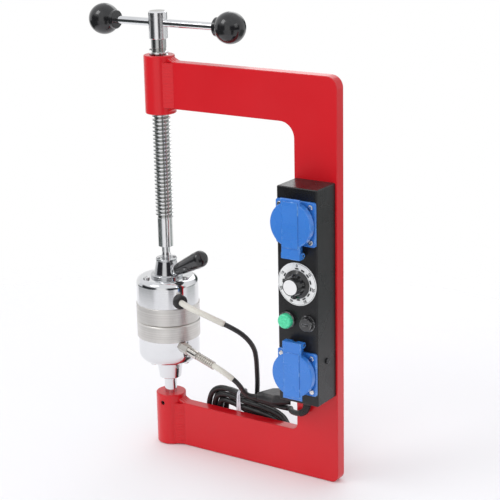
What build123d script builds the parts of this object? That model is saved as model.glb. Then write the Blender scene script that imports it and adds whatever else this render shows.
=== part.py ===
from build123d import *
import math
import os

os.makedirs("parts", exist_ok=True)

# Turns in degrees, and the sides of a hexagon
quarter_turn = 90.0
half_turn = 180.0
full_turn = 360.0
hex_sides = 6

# Clearances and the overrun that every through cut takes
overrun = 1.0
running_clearance = 0.08
loose_clearance = 0.3
sheet_clearance = 0.2

# Frame: a flat C of thick steel plate, standing on its lower arm
frame_height = 520.0
throat_depth = 205.0
column_width = 60.0
arm_height = 60.0
plate_thickness = 16.0
upper_outer_radius = 15.0
lower_outer_radius = 10.0
upper_inner_radius = 20.0
lower_inner_radius = 9.0
plate_edge_radius = 0.8

# Bosses: round bar welded to the arm ends
boss_diameter = 40.0
upper_boss_rise = 7.0
upper_boss_drop = 8.0
lower_boss_rise = 10.5
boss_edge_radius = 1.5
weld_width = 6.0
weld_end_gap = 3.0

# Lower pin, hub and the stack of the two heaters, from the table up
pin_diameter = 16.6
pin_exposed = 21.5
pin_in_boss = 38.0
pin_in_hub = 17.0
lower_hub_height = 25.0
lower_hub_base_diameter = 35.4
lower_hub_end_diameter = 29.0
cup_height = 35.0
cup_diameter = 82.0
lower_cup_diameter = 81.0
cup_wall = 1.2
upper_cup_shoulder = 8.0
lower_cup_shoulder = 14.0
platen_diameter = 84.0
platen_height = 23.0
platen_chamfer = 2.2
platen_edge = 0.6
platen_gap = 0.3
platen_spigot_height = 1.6
element_ring_radius = 17.0
element_tube_diameter = 8.0
insulator_diameter = 72.0
insulator_thickness = 3.0
thermostat_diameter = 15.0
thermostat_height = 9.0
upper_hub_height = 22.0
upper_hub_base_diameter = 34.0
upper_hub_top_diameter = 27.0
hub_flange_diameter = 43.0
hub_flange_height = 3.5
hub_edge_radius = 0.8

# Screws of the heaters
cup_screw_circle = 60.0
cup_screw_count = 3
cup_screw_diameter = 5.0
cup_screw_head_diameter = 9.0
cup_screw_head_height = 3.2
cup_screw_grip = 9.0
upper_cup_screw_angle = 2.0
lower_cup_screw_circle = 49.0
lower_cup_screw_angle = 7.0
slot_width = 1.2
upper_cup_slot_turn = 40.0
lower_cup_slot_turn = 25.0
hub_set_screw_angle = -15.0
hub_set_screw_drop = 7.5
set_screw_diameter = 6.0
set_screw_sink = 1.6
hex_key_size = 3.0
hex_key_depth = 2.6
boss_set_screw_drop = 11.5

# Ball end of the clamp screw, its seat and the split ring that keeps it in the hub
ball_diameter = 16.0
ball_depth = 9.0
seat_thickness = 2.4
hub_cap_thickness = 3.0
hub_cap_diameter = 28.0
hub_cap_hole_diameter = 13.4
hub_cap_saw_gap = 0.6
hub_cap_screw_circle = 21.6
hub_cap_screw_diameter = 2.5
hub_cap_screw_head_diameter = 5.0
hub_cap_screw_head_height = 1.9
hub_cap_screw_grip = 6.0
hub_cap_screw_angle = 49.0
hub_cap_slot_turn = 70.0
neck_diameter = 11.0
neck_flare_diameter = 12.6
neck_flare_height = 4.0
neck_length = 24.0

# Clamp screw with its trapezoidal thread
thread_diameter = 24.0
thread_pitch = 5.0
thread_depth = 2.75
thread_crest_width = 1.7
thread_root_width = 3.2
thread_embed = 0.4
thread_above_frame = 13.3
shank_diameter = 20.0
shank_length = 41.0
thread_runout = 2.5
collar_diameter = 19.4
collar_length = 14.0
head_diameter = 24.0
head_height = 35.0
head_chamfer = 1.6
bar_height_in_head = 20.0
small_edge = 0.6

# Sliding bar with a ball knob at each end
bar_diameter = 10.0
left_knob_reach = 86.0
right_knob_reach = 110.0
knob_diameter = 40.0
knob_collar_diameter = 24.0
knob_collar_reach = 21.0
knob_bore_depth = 14.0
knob_collar_edge = 1.0

# Handle of the upper heater
handle_angle = -12.0
handle_rise = 28.0
handle_root_drop = 0.7
ferrule_start = 14.0
ferrule_end = 24.5
ferrule_small_diameter = 12.0
ferrule_large_diameter = 15.0
handle_stud_start = 13.0
handle_stud_diameter = 7.0
handle_stud_end = 60.0
grip_base_diameter = 14.5
grip_belly_diameter = 19.0
grip_end_diameter = 22.0
grip_length = 58.0
grip_groove_share = 0.68
grip_groove_width = 1.2
grip_groove_depth = 0.6
grip_end_radius = 8.0

# Lead exit of the upper heater
lead_exit_angle = -31.0
grommet_height_share = 0.29
grommet_flange_diameter = 19.0
grommet_neck_diameter = 12.4
grommet_reach = 5.6
grommet_tail = 3.0
sleeve_diameter = 8.0
lead_diameter = 6.4

# Lead exit of the lower heater: a metal gland with a steel spring over the sleeve
gland_root_place = (35.0, -19.4)
gland_root_rise = 29.0
gland_angle = -12.0
gland_fall = 11.0
gland_nut_length = 14.0
gland_nut_diameter = 14.0
gland_barrel_length = 17.0
gland_barrel_diameter = 11.0
gland_stub_diameter = 7.4
gland_stub_length = 3.0
spring_length = 32.0
spring_wire_diameter = 1.2
spring_turns = 9
lower_sleeve_diameter = 7.4

# Control box: a folded cover over a back plate on the column
box_inset = 1.5
box_width = 56.0
box_depth = 43.0
box_bottom = 118.0
box_height = 274.0
box_sheet = 1.5
box_corner_radius = 1.6
back_lug_width = 20.0
back_lug_depth = 30.0
box_screw_rise = 54.0
box_screw_depth = 21.0
box_screw_diameter = 4.0
box_screw_head_diameter = 7.5
box_screw_head_height = 2.2
box_screw_length = 7.0
mount_screw_diameter = 5.0
mount_screw_head_diameter = 9.0
mount_screw_head_height = 3.0
mount_screw_inset = 14.0
mount_screw_end_gap = 1.0

# Safety sockets with sprung lids
upper_socket_drop = 42.3
lower_socket_rise = 42.0
socket_flange_size = 55.0
socket_flange_thickness = 3.5
socket_flange_radius = 3.0
socket_collar_diameter = 48.0
socket_collar_reach = 10.5
socket_recess_diameter = 39.0
socket_recess_depth = 17.5
socket_body_diameter = 43.0
socket_body_depth = 29.0
socket_screw_pitch = 43.0
socket_screw_diameter = 3.5
socket_screw_head_diameter = 6.6
socket_screw_head_height = 1.9
socket_screw_length = 9.0
contact_pitch = 19.0
contact_diameter = 6.0
contact_bore_diameter = 4.8
contact_length = 14.0
earth_clip_width = 6.0
earth_clip_thickness = 1.0
earth_clip_length = 14.0
hinge_offset = 38.5
hinge_reach = 7.0
knuckle_diameter = 7.6
hinge_width = 26.0
hinge_ear_width = 5.0
spring_gap_width = 7.2
hinge_web_length = 6.0
hinge_clearance = 0.6
lid_pin_diameter = 3.0
lid_diameter = 57.0
lid_outer_reach = 15.5
lid_wall = 2.4
lid_rim_depth = 8.0
lid_lip_reach = 32.0
lid_lip_width = 27.0
lid_edge_radius = 1.4
lid_step_height = 0.8
lid_spring_diameter = 6.6
lid_spring_wire = 1.0
lid_spring_turns = 4

# Timer with its dial and knob
dial_rise = 17.5
dial_diameter = 54.0
dial_thickness = 1.0
dial_hole_diameter = 9.0
timer_body_size = 42.0
timer_body_depth = 24.0
timer_shaft_diameter = 6.0
timer_shaft_back = 12.0
knob_skirt_diameter = 36.0
knob_skirt_thickness = 3.0
knob_body_diameter = 27.0
knob_top_diameter = 22.0
knob_height = 15.5
knob_gap = 0.5
knob_flute_diameter = 3.4
knob_flute_count = 12
knob_cap_diameter = 19.0
knob_cap_thickness = 1.2
knob_cap_edge = 0.3
pointer_width = 3.0
pointer_length = 5.0
pointer_reach = 1.25

# Pilot lamp and fuse holder
lamp_left_offset = 14.0
lamp_drop = 47.5
lamp_bezel_diameter = 22.0
lamp_bezel_height = 4.0
lamp_body_diameter = 15.0
lamp_body_depth = 26.0
lamp_lens_diameter = 18.6
lamp_lens_height = 7.0
lamp_lens_radius = 3.0
fuse_right_offset = 13.5
fuse_drop = 48.0
fuse_flange_diameter = 21.0
fuse_flange_height = 2.0
fuse_body_diameter = 13.0
fuse_body_depth = 32.0
fuse_cap_diameter = 17.5
fuse_cap_height = 5.0
fuse_cap_stem_diameter = 8.0
fuse_cap_stem_length = 14.0
fuse_cap_taper = 6.0
fuse_slot_width = 1.6

# Cords: routes chosen by hand; a stretch that hangs on a piece has its heights above that piece
mains_diameter = 7.2
cord_arc_share = 0.45
upper_sleeve_bends = [
    (39.99, -24.03, 10.15),
    (57.99, -34.85, 10.15),
    (85.0, -34.5, 4.1),
    (108.0, -25.0, -7.3),
]
upper_lead_top_bends = [
    (108.09, -24.96, -7.34),
    (121.8, -19.3, -14.14),
    (131.0, -8.5, -26.8),
]
upper_lead_bends = [
    (134.0, 4.0, 154.0),
    (130.0, 14.0, 135.0),
    (125.0, 22.5, 115.0),
    (120.5, 30.0, 95.0),
    (116.5, 34.0, 75.0),
    (113.0, 36.5, 55.0),
    (108.0, 39.0, 36.0),
    (98.0, 43.5, 18.5),
    (84.0, 49.0, 7.2),
    (68.0, 49.0, 7.2),
]
lower_sleeve_bends = [
    (64.77, -25.73, 23.09),
    (80.13, -29.0, 20.04),
    (95.4, -32.4, 17.15),
    (104.14, -34.1, 15.27),
    (113.8, -32.9, 10.2),
    (120.85, -28.4, 3.05),
]
lower_lead_top_bends = [
    (120.91, -28.36, 2.99),
    (126.49, -24.8, -2.67),
]
lower_lead_bends = [
    (125.8, -7.9, 93.7),
    (131.2, -2.3, 89.2),
    (138.13, 1.7, 89.2),
]
mains_tail_top_bends = [
    (226.0, -16.0, -8.0),
    (226.0, -16.0, -22.0),
]
mains_tail_bends = [
    (215.0, -15.5, 87.0),
    (200.0, -12.5, 85.5),
    (191.0, -1.0, 84.5),
    (185.0, 9.0, 79.5),
    (175.0, 13.3, 76.9),
    (164.0, 13.3, 76.9),
]
mains_end_route = [
    (158.0, 22.1, 3.8),
    (178.0, 22.1, 3.8),
    (196.0, 28.0, 3.8),
    (204.0, 44.0, 4.5),
    (199.0, 61.0, 10.0),
    (183.0, 71.0, 18.2),
    (167.0, 71.0, 18.2),
]

# The tied hank of the mains cord, its tie and the gland that the cord comes out of
hank_front = 13.3
hank_step = 8.8
hank_climb_drop = 3.0
hank_turns = 6
hank_left = 52.6
hank_right = 182.0
hank_left_node = 83.0
hank_right_node = 150.0
hank_waist = 104.0
hank_left_top = 87.2
hank_right_top = 73.0
hank_waist_top = 81.8
hank_floor = 3.8
hank_waist_lift = 5.0
hank_sample_step = 4.0
hank_near_share = 6.0
even_enough = 0.001
tie_width = 5.0
tie_thickness = 0.8
tie_corner_radius = 5.0
mains_gland_diameter = 15.0
mains_gland_head = 8.0
mains_gland_neck = 11.0
mains_gland_tail = 5.0

# Plugs: flat two pin plugs on the leads, a round one on the mains cord
plug_width = 35.0
plug_thickness = 13.6
plug_length = 36.0
plug_neck_length = 8.0
plug_neck_diameter = 10.0
plug_edge_radius = 3.0
plug_taper_share = 1 / 3
plug_pin_diameter = 4.0
plug_pin_length = 19.0
plug_pin_pitch = 19.0
lower_plug_angle = 30.0
mains_plug_diameter = 37.0
mains_plug_front = 14.0
mains_plug_length = 38.0
mains_plug_neck_length = 18.0
mains_plug_neck_diameter = 12.0
mains_pin_diameter = 4.8

# Places that follow from the sizes
frame_right = throat_depth + column_width
plate_front = -plate_thickness / 2
boss_radius = boss_diameter / 2
cup_radius = cup_diameter / 2
upper_boss_bottom = frame_height - arm_height - upper_boss_drop
upper_boss_top = frame_height + upper_boss_rise
lower_boss_top = arm_height + lower_boss_rise
boss_set_screw_height = lower_boss_top - boss_set_screw_drop
lower_hub_bottom = lower_boss_top + pin_exposed
lower_cup_bottom = lower_hub_bottom + lower_hub_height
lower_platen_bottom = lower_cup_bottom + cup_height
parting_height = lower_platen_bottom + platen_height
upper_platen_bottom = parting_height + platen_gap
upper_cup_bottom = upper_platen_bottom + platen_height
upper_cup_top = upper_cup_bottom + cup_height
upper_hub_top = upper_cup_top + upper_hub_height
ball_height = upper_hub_top - ball_depth
socket_radius = ball_diameter / 2 + loose_clearance
seat_top = ball_height - ball_diameter / 2 - loose_clearance
socket_floor = seat_top - seat_thickness - loose_clearance
hub_cap_top = upper_hub_top + hub_cap_thickness
shank_bottom = ball_height + neck_length + neck_flare_height
thread_bottom = shank_bottom + shank_length
thread_top = frame_height + thread_above_frame
thread_length = thread_top - thread_bottom
head_bottom = thread_top + collar_length
head_top = head_bottom + head_height
bar_height = head_bottom + bar_height_in_head
root_radius = thread_diameter / 2 - thread_depth
box_left = throat_depth + box_inset
box_right = box_left + box_width
box_middle = box_left + box_width / 2
box_back = plate_front
box_front = box_back - box_depth
box_top = box_bottom + box_height
box_screw_height = box_bottom + box_screw_rise
upper_socket_height = box_top - upper_socket_drop
lower_socket_height = box_bottom + lower_socket_rise
dial_height = (box_bottom + box_top) / 2 + dial_rise
lamp_height = dial_height - lamp_drop
fuse_height = dial_height - fuse_drop
lamp_across = box_left + lamp_left_offset
fuse_across = box_right - fuse_right_offset
gland_root = (*gland_root_place, lower_cup_bottom + gland_root_rise)


def raised(points, height):
    """Bends of a cord, lifted by the height of the piece that they are measured from."""
    return [(x, y, z + height) for x, y, z in points]


upper_sleeve_route = raised(upper_sleeve_bends, upper_cup_bottom)
upper_lead_route = raised(upper_lead_top_bends, upper_cup_bottom) + upper_lead_bends
lower_sleeve_route = raised(lower_sleeve_bends, lower_cup_bottom)
lower_lead_route = raised(lower_lead_top_bends, lower_cup_bottom) + lower_lead_bends
mains_tail_route = raised(mains_tail_top_bends, box_bottom) + mains_tail_bends


def save(piece, name):
    """Labels a finished piece and writes it to its own file."""
    piece.label = name
    export_step(piece, "parts/" + name + ".step")


def turned(points, base=Plane.XY):
    """A turned piece: its outline of (radius, height) pairs spun about the base plane's own axis."""
    section = Plane(origin=base.origin, x_dir=base.x_dir, z_dir=-base.y_dir)
    with BuildPart() as piece:
        with BuildSketch(section):
            with BuildLine():
                Polyline(*points, close=True)
            make_face()
        revolve(axis=Axis(base.origin, base.z_dir))
    return piece.part


def plane_along(origin, angle, rise=0.0):
    """A plane whose own axis leaves the origin at an angle round the upright and a rise above level."""
    turn = math.radians(angle)
    lift = math.radians(rise)
    direction = Vector(math.cos(lift) * math.cos(turn), math.cos(lift) * math.sin(turn), math.sin(lift))
    across = Vector(-math.sin(turn), math.cos(turn), 0)
    return Plane(origin=origin, x_dir=across, z_dir=direction)


def slotted_screw(base, shank, length, head, height, slot):
    """A pan head screw whose head stands on the base plane and whose shank goes down from it."""
    with BuildPart() as screw:
        with BuildSketch(base):
            Circle(head / 2)
        extrude(amount=height)
        fillet(screw.faces().sort_by(Axis(base.origin, base.z_dir))[-1].edges(), height / 2)
        with BuildSketch(base):
            Circle(shank / 2)
        extrude(amount=-length)
        with BuildSketch(base.offset(height - slot / 2)):
            Rectangle(head + slot, slot)
        extrude(amount=height, mode=Mode.SUBTRACT)
    return screw.part


def grub_screw(base, diameter, length):
    """A headless screw with a hexagon key hole, its outer face on the base plane."""
    with BuildPart() as screw:
        with BuildSketch(base):
            Circle(diameter / 2)
            RegularPolygon(hex_key_size / 2, hex_sides, mode=Mode.SUBTRACT)
        extrude(amount=-hex_key_depth)
        with BuildSketch(base.offset(-hex_key_depth)):
            Circle(diameter / 2)
        extrude(amount=hex_key_depth - length)
    return screw.part


def group(pieces):
    """Alike pieces that stand apart and share one name."""
    return Compound(children=[p for p in pieces])


# Frame plate, cut round the bosses and drilled for the two screws of the control box
mount_screw_heights = [box_bottom + mount_screw_inset, box_top - mount_screw_inset]
with BuildPart() as frame_plate:
    with BuildSketch(Plane.XZ.offset(-plate_thickness / 2)):
        with BuildLine():
            Polyline(
                (0, 0),
                (frame_right, 0),
                (frame_right, frame_height),
                (0, frame_height),
                (0, frame_height - arm_height),
                (throat_depth, frame_height - arm_height),
                (throat_depth, arm_height),
                (0, arm_height),
                close=True,
            )
        make_face()
    extrude(amount=plate_thickness)
    upright = frame_plate.edges().filter_by(Axis.Y)
    right_edges = upright.group_by(Axis.X)[-1].sort_by(Axis.Z)
    inner_edges = upright.group_by(Axis.X)[-2].sort_by(Axis.Z)
    fillet(right_edges[0], lower_outer_radius)
    fillet(right_edges[-1], upper_outer_radius)
    fillet(inner_edges[0], lower_inner_radius)
    fillet(inner_edges[-1], upper_inner_radius)
    front_and_back = frame_plate.faces().filter_by(Axis.Y)
    outline = front_and_back.edges().filter_by(
        lambda e: e.center().X > boss_radius or e.length > column_width
    )
    fillet(outline, plate_edge_radius)
    with BuildSketch(Plane.XY.offset(-overrun)):
        Circle(boss_radius)
    extrude(amount=frame_height + 2 * overrun, mode=Mode.SUBTRACT)
    with BuildSketch(Plane.XZ.offset(-plate_front + overrun)):
        with Locations(*[(box_middle, h) for h in mount_screw_heights]):
            Circle(mount_screw_diameter / 2)
    extrude(amount=-plate_thickness - 2 * overrun, mode=Mode.SUBTRACT)
save(frame_plate.part, "frame_plate")


def weld_bead(bottom, height):
    """The two fillet welds that run up the corners between a boss and the plate."""
    with BuildPart() as bead:
        with BuildSketch(Plane.XY.offset(bottom)):
            for side in (-1, 1):
                corner_y = side * plate_thickness / 2
                corner_x = math.sqrt(boss_radius**2 - corner_y**2)
                outer_y = side * (plate_thickness / 2 + weld_width)
                outer_x = math.sqrt(boss_radius**2 - outer_y**2)
                with BuildLine():
                    Polyline(
                        (corner_x - weld_width / 2, corner_y),
                        (corner_x + weld_width, corner_y),
                        (outer_x, outer_y),
                        (outer_x - weld_width / 2, outer_y - side * weld_width / 2),
                        close=True,
                    )
                make_face()
        extrude(amount=height)
    return bead.part


# Upper boss, bored and threaded for the clamp screw
internal_crest = root_radius + loose_clearance
bore_radius = thread_diameter / 2 + loose_clearance
boss_thread_turns = int((upper_boss_top - upper_boss_bottom) / thread_pitch) - 2
boss_thread_start = (
    thread_bottom
    + thread_pitch / 2
    + thread_pitch * math.ceil((upper_boss_bottom - thread_bottom) / thread_pitch)
)
with BuildPart() as internal_thread:
    with BuildLine(Plane.XY.offset(boss_thread_start)) as nut_helix:
        Helix(pitch=thread_pitch, height=boss_thread_turns * thread_pitch, radius=bore_radius)
    with BuildSketch(Plane(origin=nut_helix.line @ 0, x_dir=(1, 0, 0), z_dir=nut_helix.line % 0)):
        with BuildLine():
            Polyline(
                (thread_embed, -thread_root_width / 2 + loose_clearance),
                (internal_crest - bore_radius, -thread_crest_width / 2 + loose_clearance),
                (internal_crest - bore_radius, thread_crest_width / 2 - loose_clearance),
                (thread_embed, thread_root_width / 2 - loose_clearance),
                close=True,
            )
        make_face()
    sweep(is_frenet=True)
with BuildPart() as upper_boss:
    with BuildSketch(Plane.XY.offset(upper_boss_bottom)):
        Circle(boss_radius)
    extrude(amount=upper_boss_top - upper_boss_bottom)
    fillet(upper_boss.edges().filter_by(GeomType.CIRCLE), boss_edge_radius)
    add(weld_bead(frame_height - arm_height + weld_end_gap, arm_height - 2 * weld_end_gap))
    with BuildSketch(Plane.XY.offset(upper_boss_bottom - overrun)):
        Circle(bore_radius)
    extrude(amount=upper_boss_top - upper_boss_bottom + 2 * overrun, mode=Mode.SUBTRACT)
    add(internal_thread.part)
save(upper_boss.part, "upper_boss")

# Lower boss, bored for the pin and tapped from the front for its grub screw
with BuildPart() as lower_boss:
    with BuildSketch(Plane.XY):
        Circle(boss_radius)
    extrude(amount=lower_boss_top)
    fillet(lower_boss.edges().filter_by(GeomType.CIRCLE), boss_edge_radius)
    add(weld_bead(weld_end_gap, arm_height - 2 * weld_end_gap))
    with BuildSketch(Plane.XY.offset(lower_boss_top + overrun)):
        Circle(pin_diameter / 2)
    extrude(amount=-pin_in_boss - overrun, mode=Mode.SUBTRACT)
    with BuildSketch(Plane.XZ.offset(boss_radius + overrun)):
        with Locations((0, boss_set_screw_height)):
            Circle(set_screw_diameter / 2)
    extrude(amount=-boss_radius, mode=Mode.SUBTRACT)
save(lower_boss.part, "lower_boss")

# Clamp screw: head, collar, thread, shank, neck and ball end in one piece
with BuildPart() as ridge:
    with BuildLine(Plane.XY.offset(thread_bottom)) as screw_helix:
        Helix(pitch=thread_pitch, height=thread_length, radius=root_radius)
    with BuildSketch(Plane(origin=screw_helix.line @ 0, x_dir=(1, 0, 0), z_dir=screw_helix.line % 0)):
        with BuildLine():
            Polyline(
                (-thread_embed, -thread_root_width / 2),
                (thread_depth, -thread_crest_width / 2),
                (thread_depth, thread_crest_width / 2),
                (-thread_embed, thread_root_width / 2),
                close=True,
            )
        make_face()
    sweep(is_frenet=True)
neck_radius = neck_diameter / 2
ball_radius = ball_diameter / 2
neck_meets_ball = ball_height + math.sqrt(ball_radius**2 - neck_radius**2)
with BuildPart() as clamp_screw:
    with BuildSketch(Plane.XZ):
        with BuildLine():
            ThreePointArc(
                (neck_radius, neck_meets_ball),
                (ball_radius, ball_height),
                (0, ball_height - ball_radius),
            )
            Polyline(
                (0, ball_height - ball_radius),
                (0, head_top),
                (head_diameter / 2 - head_chamfer, head_top),
                (head_diameter / 2, head_top - head_chamfer),
                (head_diameter / 2, head_bottom + small_edge),
                (head_diameter / 2 - small_edge, head_bottom),
                (collar_diameter / 2, head_bottom),
                (collar_diameter / 2, thread_top + thread_runout),
                (root_radius, thread_top + thread_runout),
                (root_radius, thread_bottom - thread_runout),
                (shank_diameter / 2, thread_bottom - thread_runout),
                (shank_diameter / 2, shank_bottom + small_edge),
                (shank_diameter / 2 - small_edge, shank_bottom),
                (neck_radius, shank_bottom),
                (neck_radius, hub_cap_top + 2 * neck_flare_height),
                (neck_flare_diameter / 2, hub_cap_top + neck_flare_height),
                (neck_flare_diameter / 2, upper_hub_top),
                (neck_radius, upper_hub_top - small_edge),
                (neck_radius, neck_meets_ball),
            )
        make_face()
    revolve(axis=Axis.Z)
    add(ridge.part)
    with BuildSketch(Plane.YZ.offset(-head_diameter)):
        with Locations((0, bar_height)):
            Circle(bar_diameter / 2 + running_clearance)
    extrude(amount=2 * head_diameter, mode=Mode.SUBTRACT)
save(clamp_screw.part, "clamp_screw")

# Sliding bar and its two ball knobs
bar_left_end = -left_knob_reach + knob_collar_reach - knob_bore_depth
bar_right_end = right_knob_reach - knob_collar_reach + knob_bore_depth
with BuildPart() as tommy_bar:
    with BuildSketch(Plane.YZ.offset(bar_left_end)):
        with Locations((0, bar_height)):
            Circle(bar_diameter / 2)
    extrude(amount=bar_right_end - bar_left_end)
    chamfer(tommy_bar.edges().filter_by(GeomType.CIRCLE), small_edge)
save(tommy_bar.part, "tommy_bar")


def ball_knob(centre_x, side):
    """A moulded ball with a flat collar that faces the screw head, bored for the bar."""
    radius = knob_diameter / 2
    collar = knob_collar_diameter / 2
    shoulder = math.sqrt(radius**2 - collar**2)
    base = Plane(origin=(centre_x, 0, bar_height), x_dir=(0, 1, 0), z_dir=(side, 0, 0))
    section = Plane(origin=base.origin, x_dir=base.x_dir, z_dir=-base.y_dir)
    floor = knob_collar_reach - knob_bore_depth
    with BuildPart() as knob:
        with BuildSketch(section):
            with BuildLine():
                ThreePointArc((0, -radius), (radius, 0), (collar, shoulder))
                Line((collar, shoulder), (collar, knob_collar_reach - knob_collar_edge))
                Line(
                    (collar, knob_collar_reach - knob_collar_edge),
                    (collar - knob_collar_edge, knob_collar_reach),
                )
                Line((collar - knob_collar_edge, knob_collar_reach), (bar_diameter / 2, knob_collar_reach))
                Line((bar_diameter / 2, knob_collar_reach), (bar_diameter / 2, floor))
                Line((bar_diameter / 2, floor), (0, floor))
                Line((0, floor), (0, -radius))
            make_face()
        revolve(axis=Axis(base.origin, base.z_dir))
    return knob.part


save(group([ball_knob(-left_knob_reach, 1), ball_knob(right_knob_reach, -1)]), "bar_knobs")

# Ball seat: the washer that takes the thrust without turning
seat = turned(
    [
        (0, socket_floor + loose_clearance),
        (ball_radius - running_clearance, socket_floor + loose_clearance),
        (ball_radius - running_clearance, seat_top - small_edge),
        (ball_radius - small_edge, seat_top),
        (0, seat_top),
    ]
)
save(seat, "thrust_washer")


def polar(radius, angle, height):
    """A point on a circle round the screw's axis."""
    return (radius * math.cos(math.radians(angle)), radius * math.sin(math.radians(angle)), height)


cap_screw_angles = [hub_cap_screw_angle, hub_cap_screw_angle + half_turn]
handle_foot = (0, 0, upper_cup_top + handle_root_drop)
handle_base = plane_along(handle_foot, handle_angle, handle_rise)
screw_turns = [full_turn * i / cup_screw_count for i in range(cup_screw_count)]
upper_screw_angles = [upper_cup_screw_angle + turn for turn in screw_turns]
lower_screw_angles = [lower_cup_screw_angle + turn for turn in screw_turns]

# Upper hub: a turned cone with a foot flange, a ball socket and a tapped hole for the handle
with BuildPart() as upper_hub:
    with BuildSketch(Plane.XZ):
        with BuildLine():
            Polyline(
                (0, upper_cup_top),
                (hub_flange_diameter / 2, upper_cup_top),
                (hub_flange_diameter / 2, upper_cup_top + hub_flange_height - hub_edge_radius),
                (hub_flange_diameter / 2 - hub_edge_radius, upper_cup_top + hub_flange_height),
                (upper_hub_base_diameter / 2, upper_cup_top + hub_flange_height),
                (upper_hub_top_diameter / 2, upper_hub_top),
                (socket_radius, upper_hub_top),
                (socket_radius, socket_floor),
                (0, socket_floor),
                close=True,
            )
        make_face()
    revolve(axis=Axis.Z)
    with BuildSketch(handle_base.offset(handle_stud_start)):
        Circle(handle_stud_diameter / 2)
    extrude(amount=upper_hub_base_diameter, mode=Mode.SUBTRACT)
    for angle in cap_screw_angles:
        with BuildSketch(Plane.XY.offset(upper_hub_top)):
            with Locations(polar(hub_cap_screw_circle / 2, angle, 0)[:2]):
                Circle(hub_cap_screw_diameter / 2)
        extrude(amount=-hub_cap_screw_grip, mode=Mode.SUBTRACT)
save(upper_hub.part, "upper_hub")

# Split ring on top of the hub, in two halves
with BuildPart() as hub_cap:
    with BuildSketch(Plane.XY.offset(upper_hub_top)):
        Circle(hub_cap_diameter / 2)
        Circle(hub_cap_hole_diameter / 2, mode=Mode.SUBTRACT)
        with Locations(Rotation(0, 0, hub_cap_screw_angle + quarter_turn)):
            Rectangle(hub_cap_diameter + overrun, hub_cap_saw_gap, mode=Mode.SUBTRACT)
        for angle in cap_screw_angles:
            with Locations(polar(hub_cap_screw_circle / 2, angle, 0)[:2]):
                Circle(hub_cap_screw_diameter / 2, mode=Mode.SUBTRACT)
    extrude(amount=hub_cap_thickness)
    chamfer(hub_cap.faces().group_by(Axis.Z)[-1].edges().filter_by(
        lambda e: e.geom_type == GeomType.CIRCLE and e.radius > hub_cap_hole_diameter), small_edge)
save(hub_cap.part, "hub_cap")

# Handle: chrome ferrule with its stud, and the moulded grip
hub_shape = turned(
    [
        (0, upper_cup_top),
        (hub_flange_diameter / 2, upper_cup_top),
        (hub_flange_diameter / 2, upper_cup_top + hub_flange_height - hub_edge_radius),
        (hub_flange_diameter / 2 - hub_edge_radius, upper_cup_top + hub_flange_height),
        (upper_hub_base_diameter / 2, upper_cup_top + hub_flange_height),
        (upper_hub_top_diameter / 2, upper_hub_top),
        (0, upper_hub_top),
    ]
)
with BuildPart() as ferrule:
    with BuildSketch(Plane(origin=handle_foot, x_dir=handle_base.x_dir, z_dir=-handle_base.y_dir)):
        with BuildLine():
            Polyline(
                (0, ferrule_start),
                (ferrule_small_diameter / 2, ferrule_start),
                (ferrule_large_diameter / 2, ferrule_end - hub_edge_radius),
                (ferrule_large_diameter / 2 - hub_edge_radius, ferrule_end),
                (handle_stud_diameter / 2, ferrule_end),
                (handle_stud_diameter / 2, handle_stud_end),
                (0, handle_stud_end),
                close=True,
            )
        make_face()
    revolve(axis=Axis(handle_foot, handle_base.z_dir))
    add(hub_shape, mode=Mode.SUBTRACT)
    with BuildSketch(handle_base.offset(handle_stud_start)):
        Circle(handle_stud_diameter / 2)
    extrude(amount=ferrule_end - handle_stud_start)
save(ferrule.part, "handle_ferrule")

grip_top = ferrule_end + grip_length
groove_at = ferrule_end + grip_length * grip_groove_share
groove_radius = grip_end_diameter / 2
with BuildPart() as handle_grip:
    with BuildSketch(Plane(origin=handle_foot, x_dir=handle_base.x_dir, z_dir=-handle_base.y_dir)):
        with BuildLine():
            Line((0, grip_top), (groove_radius - grip_end_radius, grip_top))
            TangentArc(
                (groove_radius - grip_end_radius, grip_top),
                (groove_radius, grip_top - grip_end_radius),
                tangent=(1, 0),
            )
            Line(
                (groove_radius, grip_top - grip_end_radius),
                (groove_radius, groove_at + grip_groove_width),
            )
            Line(
                (groove_radius, groove_at + grip_groove_width),
                (groove_radius - grip_groove_depth, groove_at),
            )
            Spline(
                (groove_radius - grip_groove_depth, groove_at),
                (grip_belly_diameter / 2, (groove_at + ferrule_end) / 2),
                (grip_base_diameter / 2, ferrule_end),
            )
            Line((grip_base_diameter / 2, ferrule_end), (handle_stud_diameter / 2, ferrule_end))
            Line((handle_stud_diameter / 2, ferrule_end), (handle_stud_diameter / 2, handle_stud_end))
            Line((handle_stud_diameter / 2, handle_stud_end), (0, handle_stud_end))
            Line((0, handle_stud_end), (0, grip_top))
        make_face()
    revolve(axis=Axis(handle_foot, handle_base.z_dir))
save(handle_grip.part, "handle_grip")


def cup(closed_end, open_end, diameter, shoulder):
    """A spun metal cup, closed at one height and open at the other."""
    way = 1 if open_end > closed_end else -1
    radius = diameter / 2
    inner = radius - cup_wall
    with BuildPart() as shell:
        with BuildSketch(Plane.XZ):
            with BuildLine():
                Line((0, closed_end), (radius - shoulder, closed_end))
                TangentArc(
                    (radius - shoulder, closed_end),
                    (radius, closed_end + way * shoulder),
                    tangent=(1, 0),
                )
                Line((radius, closed_end + way * shoulder), (radius, open_end))
                Line((radius, open_end), (inner, open_end))
                Line((inner, open_end), (inner, closed_end + way * shoulder))
                TangentArc(
                    (inner, closed_end + way * shoulder),
                    (radius - shoulder, closed_end + way * cup_wall),
                    tangent=(0, -way),
                )
                Line((radius - shoulder, closed_end + way * cup_wall), (0, closed_end + way * cup_wall))
                Line((0, closed_end + way * cup_wall), (0, closed_end))
            make_face()
        revolve(axis=Axis.Z)
    return shell.part


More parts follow.
